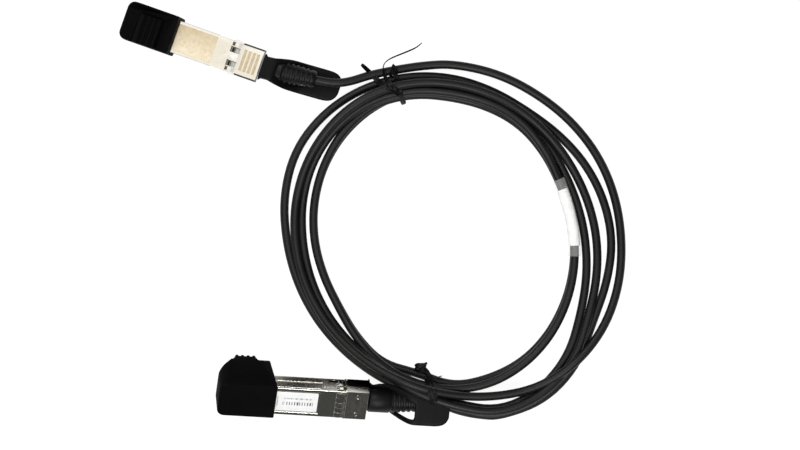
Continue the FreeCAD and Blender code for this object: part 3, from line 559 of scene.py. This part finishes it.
def plugMatrix(end):
    place = plugPlaces[end]
    turn = (Matrix.Rotation(math.radians(place["yaw"]), 4, "Z")
            @ Matrix.Rotation(math.radians(place["pitch"]), 4, "Y")
            @ Matrix.Rotation(math.radians(place["roll"]), 4, "X"))
    return Matrix.Translation(Vector(place["spot"]) * mm) @ turn @ Matrix.Diagonal((mm, mm, mm, 1.0))


capSizes = {
    "front": -4.5, "rear": 19.5, "half": 8.15, "low": -5.6, "high": 12.9, "brow": 5.5, "slopeEnd": 0.9,
    "corner": 3.0, "slant": 2.2, "stop": -1.5, "fitHalf": 6.85, "fitLow": -4.4, "fitHigh": 4.45,
    "edge": 0.7, "bumpFront": 0.9, "bumpRear": 13.2, "bumpNear": -8.15, "bumpFar": 5.4,
    "bumpHigh": 2.2, "bumpSlope": 1.9, "bumpTaper": 0.9, "ridges": 4, "ridgePitch": 2.35,
    "ridgeRadius": 0.72, "ridgeLong": 0.9, "ridgeMiddle": 0.46, "ridgeEdge": 0.25,
}
capShifts = {"a": 1.4, "b": -1.2}  # how far each cap has worked back along its plug


def makeCap(end, sizes):
    cap = startBox("dustCap" + end.upper(), (sizes["front"], -sizes["half"], sizes["low"]),
                   (sizes["rear"], sizes["half"], sizes["high"]))
    pick(cap, "EDGE", lambda middle, way: True)
    bpy.ops.mesh.bisect(plane_co=(sizes["slopeEnd"], 0, 0), plane_no=(1, 0, 0))
    pick(cap, "VERT", lambda spot, way: near(spot.x, sizes["front"]) and near(spot.z, sizes["high"]))
    bpy.ops.transform.translate(value=(0, 0, sizes["brow"] - sizes["high"]))
    pick(cap, "VERT", lambda spot, way: near(spot.x, sizes["rear"]) and near(spot.z, sizes["high"]))
    bpy.ops.transform.translate(value=(-sizes["slant"], 0, 0))
    pick(cap, "EDGE", lambda middle, way: near(middle.x, sizes["front"]) and abs(way.z) > 0.9)
    bpy.ops.mesh.bevel(offset=sizes["corner"], segments=6, affect="EDGES")
    clearChoice()
    bump = startBox("bump", (sizes["bumpFront"], sizes["bumpNear"], sizes["high"] - 2),
                    (sizes["bumpRear"], sizes["bumpFar"], sizes["high"] + sizes["bumpHigh"]))
    top, middle = sizes["high"] + sizes["bumpHigh"], (sizes["bumpFront"] + sizes["bumpRear"]) / 2
    shorter = 1 - 2 * sizes["bumpSlope"] / (sizes["bumpRear"] - sizes["bumpFront"])
    pick(bump, "FACE", lambda middle, way: way.z > 0.9)
    bpy.ops.transform.resize(value=(shorter, sizes["bumpTaper"], 1.0),
                             center_override=(middle, sizes["bumpNear"], top))
    clearChoice()
    carve(cap, bump, "UNION")
    socket = startBox("socket", (sizes["stop"], -sizes["fitHalf"], sizes["fitLow"]),
                      (sizes["rear"] + 3, sizes["fitHalf"], sizes["fitHigh"]))
    carve(cap, socket)
    roundEdges(cap, sizes["edge"], 3, 30.0)
    bumpWide = sizes["bumpFar"] - sizes["bumpNear"]
    for step in range(sizes["ridges"]):
        clearChoice()
        along = middle + (step - (sizes["ridges"] - 1) / 2) * sizes["ridgePitch"]
        bpy.ops.mesh.primitive_cylinder_add(
            vertices=20, radius=sizes["ridgeRadius"], depth=bumpWide * sizes["ridgeLong"],
            location=(along, sizes["bumpNear"] + bumpWide * sizes["ridgeMiddle"], top),
            rotation=(math.pi / 2, 0, 0))
        ridge = bpy.context.object
        bpy.ops.object.transform_apply(location=True, rotation=True, scale=True)
        roundEdges(ridge, sizes["ridgeEdge"], 2, 60.0)
        carve(cap, ridge, "UNION")
    smoothPiece(cap)
    place = plugMatrix(end) @ Matrix.Translation((capShifts[end], 0, 0))
    settle(cap, place, "capRubber", "cap_" + end, "cap_rubber", "dust_cap_" + end)
    return cap


# the moulded pull tab: neck, windowed strap and paddle, drawn in plan and bent through the boot's middle
tabSizes = {
    "thick": 1.2,
    "along": [57.3, 58.0, 59.0, 60.4, 62.0, 63.6, 65.4, 67.4, 69.4, 71.4, 73.4, 75.0, 76.3, 78.2, 80.6,
              83.0, 85.6, 88.2, 90.0, 91.0],
    "half": [6.2, 5.6, 4.3, 4.6, 5.1, 5.5, 5.9, 6.3, 6.55, 6.6, 6.6, 6.6, 6.6, 6.6, 6.6,
             6.6, 6.6, 6.2, 4.9, 2.6],
    "across": [-1.0, -0.38, -0.2, 0.0, 0.33, 0.62, 1.0],
    "windowFront": 63.6, "windowRear": 77.2, "windowNear": -2.4, "windowFar": 3.9,
    "bends": [(57.3, 4.6), (58.6, 4.6), (60.6, 5.6), (62.4, 5.6), (74.5, -4.9), (93.0, -4.9)],
    "ease": 1.6, "shearStart": 57.3, "twistStart": 62.0, "twistLong": 14.0,
}
tabTurns = {"a": {"shear": 3.5, "twist": 0.0}, "b": {"shear": 0.0, "twist": -30.0}}


# the strap's height, with every bend eased over a short stretch
def levelAt(bends, ease, x):
    total = 0.0
    for part in range(9):
        here = x + ease * (part - 4) / 4
        here = min(max(here, bends[0][0]), bends[-1][0])
        for (lowX, lowZ), (highX, highZ) in zip(bends, bends[1:]):
            if lowX <= here <= highX:
                total += lowZ + (highZ - lowZ) * (here - lowX) / (highX - lowX)
                break
    return total / 9


def makeTab(end, sizes, turns):
    clearChoice()
    columns, rows = len(sizes["along"]), len(sizes["across"])
    bpy.ops.mesh.primitive_grid_add(x_subdivisions=columns - 1, y_subdivisions=rows - 1, size=2.0)
    tab = bpy.context.object
    tab.name = "pullTab" + end.upper()
    for vertex in tab.data.vertices:
        column = round((vertex.co.x + 1) / 2 * (columns - 1))
        row = round((vertex.co.y + 1) / 2 * (rows - 1))
        vertex.co.x = sizes["along"][column]
        vertex.co.y = sizes["across"][row] * sizes["half"][column]
    front, rear = sizes["windowFront"], sizes["windowRear"]
    pick(tab, "FACE", lambda middle, way: front < middle.x < rear
         and sizes["windowNear"] < middle.y < sizes["windowFar"])
    bpy.ops.mesh.delete(type="FACE")
    clearChoice()
    for vertex in tab.data.vertices:
        x, y = vertex.co.x, vertex.co.y
        turned = min(1.0, max(0.0, (x - sizes["twistStart"]) / sizes["twistLong"]))
        turn = math.radians(turns["twist"]) * turned
        z = levelAt(sizes["bends"], sizes["ease"], x)
        y += (x - sizes["shearStart"]) * math.tan(math.radians(turns["shear"]))
        vertex.co.y, vertex.co.z = y * math.cos(turn), z + y * math.sin(turn)
    finishModifier(tab, "SOLIDIFY", thickness=sizes["thick"], offset=0.0)
    finishModifier(tab, "SUBSURF", levels=2, render_levels=2)
    smoothPiece(tab, 60)
    settle(tab, plugMatrix(end), "tabRubber", "latch_" + end, "tab_rubber", "pull_tab_" + end)
    return tab


bootSizes = {"pivot": 57.0, "start": 0.1, "radius": 4.85, "straight": 9.0, "rings": 6, "pitch": 2.15,
             "ringLong": 1.25, "ringFirst": 4.6, "ringLast": 3.6, "grooveFirst": 4.2, "grooveLast": 3.3,
             "long": 23.5, "hole": 1.85, "flat": 3.85, "flatRear": 4.6, "flatEase": 5.0, "flatSlope": 0.6,
             "lip": 0.4, "slope": 0.3, "sides": 64}
bootTurns = {"a": 6.0, "b": 0.0}


# a profile drawn point by point, then spun round the cord
def makeBoot(end, sizes, turn):
    lip, slope = sizes["lip"], sizes["slope"]
    profile = [(sizes["start"], sizes["radius"] - lip), (sizes["start"] + lip, sizes["radius"]),
               (sizes["flatRear"], sizes["radius"]), (sizes["straight"] - slope, sizes["radius"]),
               (sizes["straight"], sizes["radius"] - slope)]
    for ring in range(sizes["rings"]):
        share = ring / (sizes["rings"] - 1)
        groove = sizes["grooveFirst"] + (sizes["grooveLast"] - sizes["grooveFirst"]) * share
        crest = sizes["ringFirst"] + (sizes["ringLast"] - sizes["ringFirst"]) * share
        start = sizes["straight"] + slope + sizes["pitch"] * ring
        rise = start + sizes["pitch"] - sizes["ringLong"]
        profile += [(start + 0.05, groove), (rise - 0.05, groove), (rise + 0.08, crest - 0.1),
                    (rise + slope, crest), (start + sizes["pitch"] - slope, crest),
                    (start + sizes["pitch"] - 0.03, crest - 0.12)]
    profile += [(sizes["long"] - lip, sizes["ringLast"] - 0.2), (sizes["long"], sizes["ringLast"] - 0.7),
                (sizes["long"], sizes["hole"]), (sizes["start"], sizes["hole"])]
    clearChoice()
    bpy.ops.mesh.primitive_circle_add(vertices=len(profile), radius=1.0)
    boot = bpy.context.object
    boot.name = "bootSleeve" + end.upper()
    for vertex, (x, radius) in zip(boot.data.vertices, profile):
        vertex.co = (x, 0.0, radius)
    pick(boot, "EDGE", lambda middle, way: True)
    bpy.ops.mesh.spin(steps=sizes["sides"], angle=math.tau, center=(0, 0, 0), axis=(1, 0, 0), dupli=False)
    bpy.ops.mesh.select_all(action="SELECT")
    bpy.ops.mesh.remove_doubles(threshold=0.001)
    bpy.ops.mesh.normals_make_consistent(inside=False)
    clearChoice()
    for vertex in boot.data.vertices:  # a flat under the latch, eased out towards the rings
        limit = sizes["flat"] + max(0.0, vertex.co.x - sizes["flatEase"]) * sizes["flatSlope"]
        vertex.co.z = min(vertex.co.z, limit)
    turnMatrix = Matrix.Translation((sizes["pivot"], 0, 0)) @ Matrix.Rotation(math.radians(turn), 4, "Z")
    smoothPiece(boot, 50)
    settle(boot, plugMatrix(end) @ turnMatrix, "bootRubber", "root", "boot_rubber", "strain_relief_" + end)
    return boot


for end in ("a", "b"):
    makeCap(end, capSizes)
    makeTab(end, tabSizes, tabTurns[end])
    makeBoot(end, bootSizes, bootTurns[end])
print("caps, tabs and boots OK")


# the metal shells: the frame's own shapes with their edges softened
shellSizes = {"samePlace": 0.002, "segments": 2, "bevelAngle": 32.0, "smoothAngle": 8.0}
shellParts = [
    # frame part, finish, finish slot, body, edge width
    ("housing", "nickelShell", "nickel_shell", "root", 0.16),
    ("top_cover", "coverNickel", "nickel_shell", "root", 0.14),
    ("cover_rivets", "brightNickel", "bright_nickel", "root", 0.1),
    ("spring_collar", "brightNickel", "bright_nickel", "root", 0.04),
    ("latch_slide", "latchSteel", "latch_steel", "latch", 0.12),
]


def softenShell(end, part, finish, body, edge):
    name = part + "_" + end
    choose(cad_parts[name])
    bpy.ops.object.duplicate()
    shell = bpy.context.object
    shell.name = part.split("_")[-1] + "Shell" + end.upper()
    for key in list(shell.keys()):
        del shell[key]
    shell.parent = None
    bpy.ops.object.mode_set(mode="EDIT")
    bpy.ops.mesh.select_all(action="SELECT")
    bpy.ops.mesh.remove_doubles(threshold=shellSizes["samePlace"] * mm)
    clearChoice()
    if shell.data.has_custom_normals:
        choose(shell)
        bpy.ops.mesh.customdata_custom_splitnormals_clear()
    roundEdges(shell, edge * mm, shellSizes["segments"], shellSizes["bevelAngle"])
    smoothPiece(shell, shellSizes["smoothAngle"])  # under a bevel's own step, so flat faces stay flat
    shell.data.materials.clear()
    shell.data.materials.append(finishes[finish])
    if part == "housing":
        paintHousing(shell, end)
    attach(shell, body if body == "root" else body + "_" + end)
    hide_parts(name)


housingZones = [
    # finish, from and to along the plug, half width, from and to in height
    ("panelNickel", 3.7, 36.7, 5.7, 3.7, 4.2),  # the sunk panel keeps its raw warm plating
    ("panelNickel", 48.0, 56.0, 20.0, 4.0, 4.1),  # the floors of the grip grooves, painted darker as the shade in the grooves
    ("latchSteel", 41.0, 49.5, 6.0, -1.0, 3.4),  # the pockets round the hooks, painted near-black as the shade inside them
]


# gives the housing its zones: the sunk panel its own warm plating, the groove floors and hook pockets a
# painted shade
def paintHousing(shell, end):
    places = {"panelNickel": 1, "latchSteel": 2}
    for finish in places:
        shell.data.materials.append(finishes[finish])
    back = plugMatrix(end).inverted()
    for face in shell.data.polygons:
        spot = back @ face.center
        for finish, front, rear, half, low, high in housingZones:
            if front < spot.x < rear and abs(spot.y) < half and low < spot.z < high:
                face.material_index = places[finish]


sidePlateSizes = {"front": 4.4, "rear": 37.0, "out": 6.82, "deep": 0.5, "edge": 0.08,
                  "levels": [(-3.3, 0.2), (1.0, 3.7)]}


# two dark strips along each side wall, a painted dark reflection, with the bright wall showing between
# them; the strips' bright edges are painted highlights
def makeSidePlates(end, sizes):
    plates = []
    for side in (-1, 1):
        first, second = sorted((side * (sizes["out"] - sizes["deep"]), side * sizes["out"]))
        for low, high in sizes["levels"]:
            plates.append(startBox("sidePlates" + end.upper(), (sizes["front"], first, low),
                                   (sizes["rear"], second, high)))
    choose(plates[0])
    for plate in plates[1:]:
        plate.select_set(True)
    bpy.ops.object.join()
    roundEdges(plates[0], sizes["edge"], 2, 35.0)
    smoothPiece(plates[0], shellSizes["smoothAngle"])
    settle(plates[0], plugMatrix(end), "sideShadeSteel", "root", "nickel_shell")


for end in ("a", "b"):
    makeSidePlates(end, sidePlateSizes)
    for part, finish, slotName, body, edge in shellParts:
        softenShell(end, part, finish, body, edge)
    for part, finish in (("return_springs", "latchSteel"), ("ferrule", "brass"), ("twinax_pairs", "foil"),
                         ("paddle_card", "cardGreen"), ("card_contacts", "gold")):
        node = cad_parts[part + "_" + end]
        node.data.materials.clear()
        node.data.materials.append(finishes[finish])
print("metal OK")


plugLabelSizes = {"front": 3.5, "rear": 35.7, "half": 4.8, "level": -4.0, "thick": 0.1, "corner": 0.5,
                  "edge": 0.03}


# a paper label with a few plain printed bars, read through its own drawing of places
def makePlugLabel(sizes):
    label = startBox("plugLabel", (sizes["front"], -sizes["half"], sizes["level"] - sizes["thick"]),
                     (sizes["rear"], sizes["half"], sizes["level"]))
    pick(label, "EDGE", lambda middle, way: abs(way.z) > 0.9)
    bpy.ops.mesh.bevel(offset=sizes["corner"], segments=4, affect="EDGES")
    clearChoice()
    roundEdges(label, sizes["edge"], 2, 35.0)
    smoothPiece(label, 35.0)
    choose(label)
    while label.data.uv_layers:
        label.data.uv_layers.remove(label.data.uv_layers[0])
    layer = label.data.uv_layers.new(name="printPlace")
    for loop in label.data.loops:
        spot = label.data.vertices[loop.vertex_index].co
        layer.data[loop.index].uv = ((spot.x - sizes["front"]) / (sizes["rear"] - sizes["front"]),
                                     (spot.y + sizes["half"]) / (2 * sizes["half"]))
    settle(label, plugMatrix("b"), "plugPaper", "root", "label_paper", "plug_label_b")


makePlugLabel(plugLabelSizes)
print("plug label OK")


# the clear sleeve and the paper tag on one strand
tagSizes = {"turn": 2, "start": -3.0, "sweep": 29.0, "extra": 4.5, "paperWide": 2.35, "paperTall": 1.98,
            "sleeveWide": 2.7, "sleeveTall": 2.4, "paperThick": 0.1, "sleeveThick": 0.14}


# the cable's own line between two angles about the coil's middle, on one of its turns
def strandPart(turn, low, high):
    found, swept, before = [], None, None
    for spot in cableLine:
        angle = math.degrees(math.atan2(spot.y - cableSizes["centreY"] * mm,
                                        spot.x - cableSizes["centreX"] * mm))
        swept = 90 - angle if swept is None else swept + (before - angle + 180) % 360 - 180
        before = angle
        if 360 * turn + 90 - high <= swept <= 360 * turn + 90 - low:
            found.append(spot.copy())
    return found


# an oval tube that follows a strand
def wrapStrand(name, line, wide, tall):
    clearChoice()
    bpy.ops.curve.primitive_bezier_circle_add(radius=1.0)
    oval = bpy.context.object
    oval.scale = (wide * mm, tall * mm, 1.0)
    oval.data.resolution_u = 8
    bpy.ops.object.transform_apply(location=True, rotation=True, scale=True)
    clearChoice()
    bpy.ops.curve.primitive_nurbs_path_add()
    tube = bpy.context.object
    tube.name = name
    tube.location = (0, 0, 0)
    tube.data.splines.clear()
    run = tube.data.splines.new("POLY")
    run.points.add(len(line) - 1)
    for point, spot in zip(run.points, line):
        point.co = (*spot, 1.0)
    tube.data.dimensions = "3D"
    tube.data.twist_mode = "Z_UP"
    tube.data.bevel_mode = "OBJECT"
    tube.data.bevel_object = oval
    bpy.ops.object.convert(target="MESH")
    bpy.data.objects.remove(oval)
    return bpy.context.object


def makeTag(sizes):
    middle = strandPart(sizes["turn"], sizes["start"], sizes["start"] + sizes["sweep"])
    paper = wrapStrand("paperTag", middle, sizes["paperWide"], sizes["paperTall"])
    finishModifier(paper, "SOLIDIFY", thickness=sizes["paperThick"] * mm, offset=-1.0)
    smoothPiece(paper, 50)
    paper.data.materials.append(finishes["tagPaper"])
    whole = strandPart(sizes["turn"], sizes["start"] - sizes["extra"],
                       sizes["start"] + sizes["sweep"] + sizes["extra"])
    sleeve = wrapStrand("clearSleeve", whole, sizes["sleeveWide"], sizes["sleeveTall"])
    finishModifier(sleeve, "SOLIDIFY", thickness=sizes["sleeveThick"] * mm, offset=-1.0)
    smoothPiece(sleeve, 50)
    sleeve.data.materials.append(finishes["clearFilm"])
    for piece, slotName, node in ((paper, "label_paper", "cable_label"),
                                  (sleeve, "clear_sleeve", "label_sleeve")):
        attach(piece, "root")
        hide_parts(node)
    return paper, sleeve


paperTag, clearSleeve = makeTag(tagSizes)
print("tag OK")


# the two wire ties: flat ribbons with a wire ridge down the middle
tieSizes = {"wide": 2.3, "thick": 0.28, "ridge": 0.22, "lift": 0.25,
            "rows": (-1.0, -0.34, 0.0, 0.34, 1.0)}
tieRuns = {
    # x, y, height over whatever is there (or above the table where marked t), lean, width share
    "top": [
        [(45.6, 62.6, 0.2, 70, 0.8, "t"), (45.5, 62.5, 2.6, 60, 0.8, "t"),
         (45.6, 60.9, 0.3, 10, 0.8, "c"), (46.3, 58.6, 0.4, 0, 0.9, "c"),
         (47.2, 55.6, 0.3, 0, 0.9, "c"), (48.0, 52.4, 0.3, 0, 0.9, "c"), (48.7, 49.6, 0.3, 0, 0.9, "c"),
         (49.3, 47.4, 0.5, 10, 0.9, "c"), (49.8, 45.9, 4.0, 40, 0.9, "t"),
         (49.9, 45.6, 2.0, 60, 0.9, "t"), (49.6, 46.2, 0.2, 20, 0.9, "t"),
         (48.6, 50.0, 0.2, 0, 0.9, "t"), (47.0, 56.0, 0.2, 0, 0.9, "t"),
         (45.9, 61.4, 0.2, 0, 0.9, "t")],
        [(32.3, 62.4, 7.4, 25, 0.72, "t"), (33.7, 61.1, 7.6, 10, 0.75, "t"),
         (35.4, 59.6, 0.7, 0, 0.85, "c"), (37.6, 57.2, 0.8, 0, 1.0, "c"),
         (39.8, 55.0, 0.8, 0, 1.1, "c"), (42.2, 53.2, 0.4, 0, 1.1, "c"), (44.6, 51.9, 0.5, 0, 1.0, "c"),
         (47.0, 50.7, 0.9, 0, 1.0, "c"), (48.8, 48.9, 0.9, 10, 0.9, "c"),
         (50.2, 46.9, 0.7, 30, 0.8, "c"), (50.6, 46.1, 3.0, 60, 0.7, "t"),
         (50.2, 46.2, 0.4, 50, 0.6, "t")],
        [(47.2, 51.6, 1.1, 0, 0.8, "c"), (45.0, 53.3, 1.3, 10, 0.9, "c"),
         (43.0, 55.6, 1.4, 20, 0.9, "c"), (41.8, 58.0, 1.6, 40, 0.8, "c"),
         (41.3, 60.2, 5.4, 70, 0.6, "t"), (41.5, 61.8, 6.4, 84, 0.6, "t"),
         (42.3, 63.2, 7.4, 84, 0.6, "t"), (43.8, 64.4, 8.2, 68, 0.6, "t"),
         (46.2, 65.5, 8.8, 66, 0.6, "t"), (48.8, 66.5, 9.2, 64, 0.6, "t"),
         (51.8, 67.7, 9.4, 62, 0.6, "t"), (54.6, 68.9, 9.4, 66, 0.6, "t"),
         (56.2, 70.0, 9.2, 74, 0.55, "t"), (57.7, 71.3, 9.0, 80, 0.5, "t")],
        [(44.4, 57.0, 0.9, 20, 0.7, "c"), (45.0, 59.0, 1.0, 30, 0.7, "c"),
         (45.3, 61.0, 1.6, 50, 0.6, "c"), (45.5, 62.4, 5.2, 70, 0.5, "t"),
         (46.2, 61.8, 6.0, 60, 0.5, "t"), (46.9, 60.4, 1.2, 30, 0.6, "c"),
         (46.6, 57.8, 0.8, 10, 0.7, "c")],
    ],
    "bottom": [
        [(59.4, -66.2, 0.2, 70, 0.9, "t"), (59.1, -66.0, 3.4, 60, 0.9, "t"),
         (59.2, -67.0, 0.5, 20, 0.9, "c"), (59.7, -69.2, 0.4, 0, 1.0, "c"),
         (60.3, -71.6, 0.4, 0, 1.0, "c"), (61.0, -74.0, 0.4, 0, 1.0, "c"),
         (61.5, -76.2, 0.5, 0, 1.0, "c"), (61.9, -77.8, 0.5, 20, 0.9, "c"),
         (62.2, -79.2, 0.3, 40, 0.8, "c")],
        [(59.6, -62.4, 6.0, 60, 0.6, "t"), (59.4, -61.2, 6.8, 60, 0.4, "t"),
         (59.0, -62.0, 7.6, 40, 0.7, "t"), (57.6, -63.4, 7.8, 30, 1.0, "t"),
         (56.0, -64.0, 7.4, -30, 1.0, "t"), (54.8, -63.6, 6.2, -70, 0.9, "t"),
         (54.4, -64.6, 4.6, -40, 0.9, "t"), (55.4, -65.6, 3.6, 10, 0.9, "t"),
         (57.2, -65.2, 3.4, 50, 0.9, "t"), (58.8, -65.4, 4.6, 70, 0.9, "t"),
         (59.8, -67.2, 6.4, 40, 0.9, "t"), (61.2, -69.4, 0.9, 10, 0.8, "c"),
         (62.4, -72.2, 0.7, 0, 0.8, "c"), (62.9, -75.2, 0.6, 0, 0.8, "c"),
         (63.2, -78.0, 0.5, 20, 0.8, "c")],
        [(54.6, -63.4, 6.6, -20, 1.0, "t"), (55.6, -63.0, 7.2, 0, 1.3, "t"),
         (57.0, -63.3, 7.4, 10, 1.4, "t"), (58.4, -63.0, 7.2, 0, 1.3, "t"),
         (59.4, -63.2, 6.6, 20, 0.9, "t")],
        [(55.0, -64.9, 4.8, 10, 0.8, "t"), (56.4, -64.5, 5.6, -10, 1.0, "t"),
         (57.8, -64.7, 5.8, 10, 1.1, "t"), (59.2, -65.0, 5.4, 20, 1.1, "t"),
         (60.2, -66.0, 5.2, 0, 0.9, "t")],
        [(56.6, -62.8, 4.2, 80, 0.7, "t"), (58.6, -63.6, 5.4, 30, 0.7, "t"),
         (60.0, -65.6, 6.4, -20, 0.8, "t"), (61.2, -67.4, 6.6, 40, 0.7, "t"),
         (62.6, -68.0, 6.2, 80, 0.5, "t"), (64.4, -67.6, 6.4, 82, 0.45, "t"),
         (66.0, -67.1, 6.8, 84, 0.4, "t")],
    ],
}


# how high the cable reaches over one spot of the table
def coverHeight(x, y):
    top, radius = 0.0, cableSizes["diameter"] / 2
    for first, second in zip(cableLine, cableLine[1:]):
        if abs(first.x / mm - x) > 8 or abs(first.y / mm - y) > 8:
            continue
        run = Vector((second.x - first.x, second.y - first.y)) / mm
        gap = Vector((x - first.x / mm, y - first.y / mm))
        share = min(1.0, max(0.0, gap.dot(run) / max(run.length_squared, 1e-9)))
        apart = (gap - run * share).length
        if apart < radius:
            height = (first.z + (second.z - first.z) * share) / mm
            top = max(top, height + math.sqrt(radius ** 2 - apart ** 2))
    return top


# a strip drawn from a grid whose rows follow the run; its bends are rounded afterwards
def makeRibbon(run, sizes):
    places = [Vector((x, y, level if kind == "t" else coverHeight(x, y) + level + sizes["lift"]))
              for x, y, level, _, _, kind in run]
    rows = sizes["rows"]
    clearChoice()
    bpy.ops.mesh.primitive_grid_add(x_subdivisions=len(run) - 1, y_subdivisions=len(rows) - 1, size=2.0)
    ribbon = bpy.context.object
    sides, side = [], Vector((0, 1, 0))
    for step in range(len(run)):
        way = places[min(step + 1, len(run) - 1)] - places[max(step - 1, 0)]
        flat = Vector((-way.y, way.x, 0))
        if flat.length > 0.4:
            flat.normalize()
            side = flat if flat.dot(side) >= -0.3 else -flat
        lean = math.radians(run[step][3])
        sides.append((side * math.cos(lean) + Vector((0, 0, 1)) * math.sin(lean), way.normalized()))
    for vertex in ribbon.data.vertices:
        step = round((vertex.co.x + 1) / 2 * (len(run) - 1))
        row = round((vertex.co.y + 1) / 2 * (len(rows) - 1))
        across, way = sides[step]
        lifted = across.cross(way) * (sizes["ridge"] if row == 2 else 0.0)
        vertex.co = places[step] + across * rows[row] * sizes["wide"] / 2 * run[step][4] + lifted
        vertex.co.z = max(vertex.co.z, sizes["thick"])  # nothing dips under the table
    finishModifier(ribbon, "SOLIDIFY", thickness=sizes["thick"], offset=0.0)
    finishModifier(ribbon, "SUBSURF", levels=2, render_levels=2)
    return ribbon


def makeTie(which):
    ribbons = [makeRibbon(run, tieSizes) for run in tieRuns[which]]
    choose(ribbons[0])
    for ribbon in ribbons[1:]:
        ribbon.select_set(True)
    bpy.ops.object.join()
    tie = bpy.context.object
    tie.name = which + "Tie"
    smoothPiece(tie, 60)
    settle(tie, Matrix.Diagonal((mm, mm, mm, 1.0)), "tiePlastic", "root", "tie_plastic", "tie_" + which)
    return tie


topTie, bottomTie = makeTie("top"), makeTie("bottom")
print("ties OK")


cableRun.data.materials.append(finishes["cordJacket"])
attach(cableRun, "root")
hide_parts("cable_coil", "cable_lead_a", "cable_lead_b")


stageSizes = {"floor": 4.0, "floorDark": (0.78, 0.78, 0.78), "floorLight": (0.8, 0.8, 0.8), "haze": 3.0,
              "floorRough": 0.9, "floorGlow": 0.8, "glow": 1.16, "sky": (1.0, 0.99, 0.97),
              "skyLow": 0.05, "skyHigh": 1.0, "skyFrom": 0.72, "skyTo": 0.93,
              "lamp": 0.6, "aim": (0.05, 0.0, 0.0)}
lampSizes = {
    "fillFront": {"spot": (0.05, -0.75, 1.2), "power": 14.0},
    "softBoxTop": {"spot": (-0.45, 0.75, 1.1), "power": 9.0},
}


def makeFloor(sizes):
    bpy.ops.object.select_all(action="DESELECT")
    bpy.ops.mesh.primitive_plane_add(size=sizes["floor"], location=(cameraSizes["x"] * mm, 0, 0))
    floor = bpy.context.object
    floor.name = "paleFloor"
    made, tree, shader, place = startMaterial("palePaper")
    shader.inputs["Roughness"].default_value = sizes["floorRough"]
    shader.inputs["Specular IOR Level"].default_value = 0.0
    haze = addNode(tree, "TexNoise", Scale=sizes["haze"])
    join(tree, place.outputs["Object"], haze.inputs["Vector"])
    join(tree, blendColours(tree, haze.outputs["Fac"], sizes["floorDark"], sizes["floorLight"]),
         shader.inputs["Base Color"])
    seen = addNode(tree, "LightPath")
    straight = addMath(tree, "MAXIMUM", seen.outputs["Is Camera Ray"], seen.outputs["Is Glossy Ray"])
    straight = addMath(tree, "MAXIMUM", straight, seen.outputs["Is Transmission Ray"])
    glow = addNode(tree, "Emission", Strength=sizes["glow"])
    both = addNode(tree, "MixShader")
    join(tree, addMath(tree, "MULTIPLY", straight, sizes["floorGlow"]), both.inputs[0])
    join(tree, shader.outputs["BSDF"], both.inputs[1])
    join(tree, glow.outputs["Emission"], both.inputs[2])
    join(tree, both.outputs["Shader"], tree.nodes["Material Output"].inputs["Surface"])
    floor.data.materials.append(made)


# bright overhead and dimmer towards the horizon, plain white where it is seen directly
def makeSky(sizes):
    sky = bpy.data.worlds.new("studioSky")
    bpy.context.scene.world = sky
    sky.use_nodes = True
    tree = sky.node_tree
    back = tree.nodes["Background"]
    back.inputs["Color"].default_value = (*sizes["sky"], 1.0)
    way = addNode(tree, "TexCoord")
    parts = addNode(tree, "SeparateXYZ")
    join(tree, way.outputs["Generated"], parts.inputs["Vector"])
    rise = mapTo(tree, parts.outputs["Z"], sizes["skyLow"], sizes["skyHigh"],
                 sizes["skyFrom"], sizes["skyTo"])
    seen = addNode(tree, "LightPath")
    level = addNode(tree, "Mix")
    join(tree, seen.outputs["Is Camera Ray"], level.inputs[0])
    join(tree, rise, level.inputs[2])
    level.inputs[3].default_value = 1.0
    join(tree, level.outputs[0], back.inputs["Strength"])


def makeLamp(name, spot, size, power):
    bpy.ops.object.select_all(action="DESELECT")
    bpy.ops.object.light_add(type="AREA", location=spot)
    lamp = bpy.context.object
    lamp.name = name
    lamp.data.size = size
    lamp.data.energy = power
    aim = Vector(stageSizes["aim"]) - Vector(spot)
    lamp.rotation_euler = aim.to_track_quat("-Z", "Y").to_euler()


makeFloor(stageSizes)
makeSky(stageSizes)
for name, sizes in lampSizes.items():
    makeLamp(name, sizes["spot"], stageSizes["lamp"], sizes["power"])
bpy.context.scene.view_settings.view_transform = "Standard"
print("stage OK")
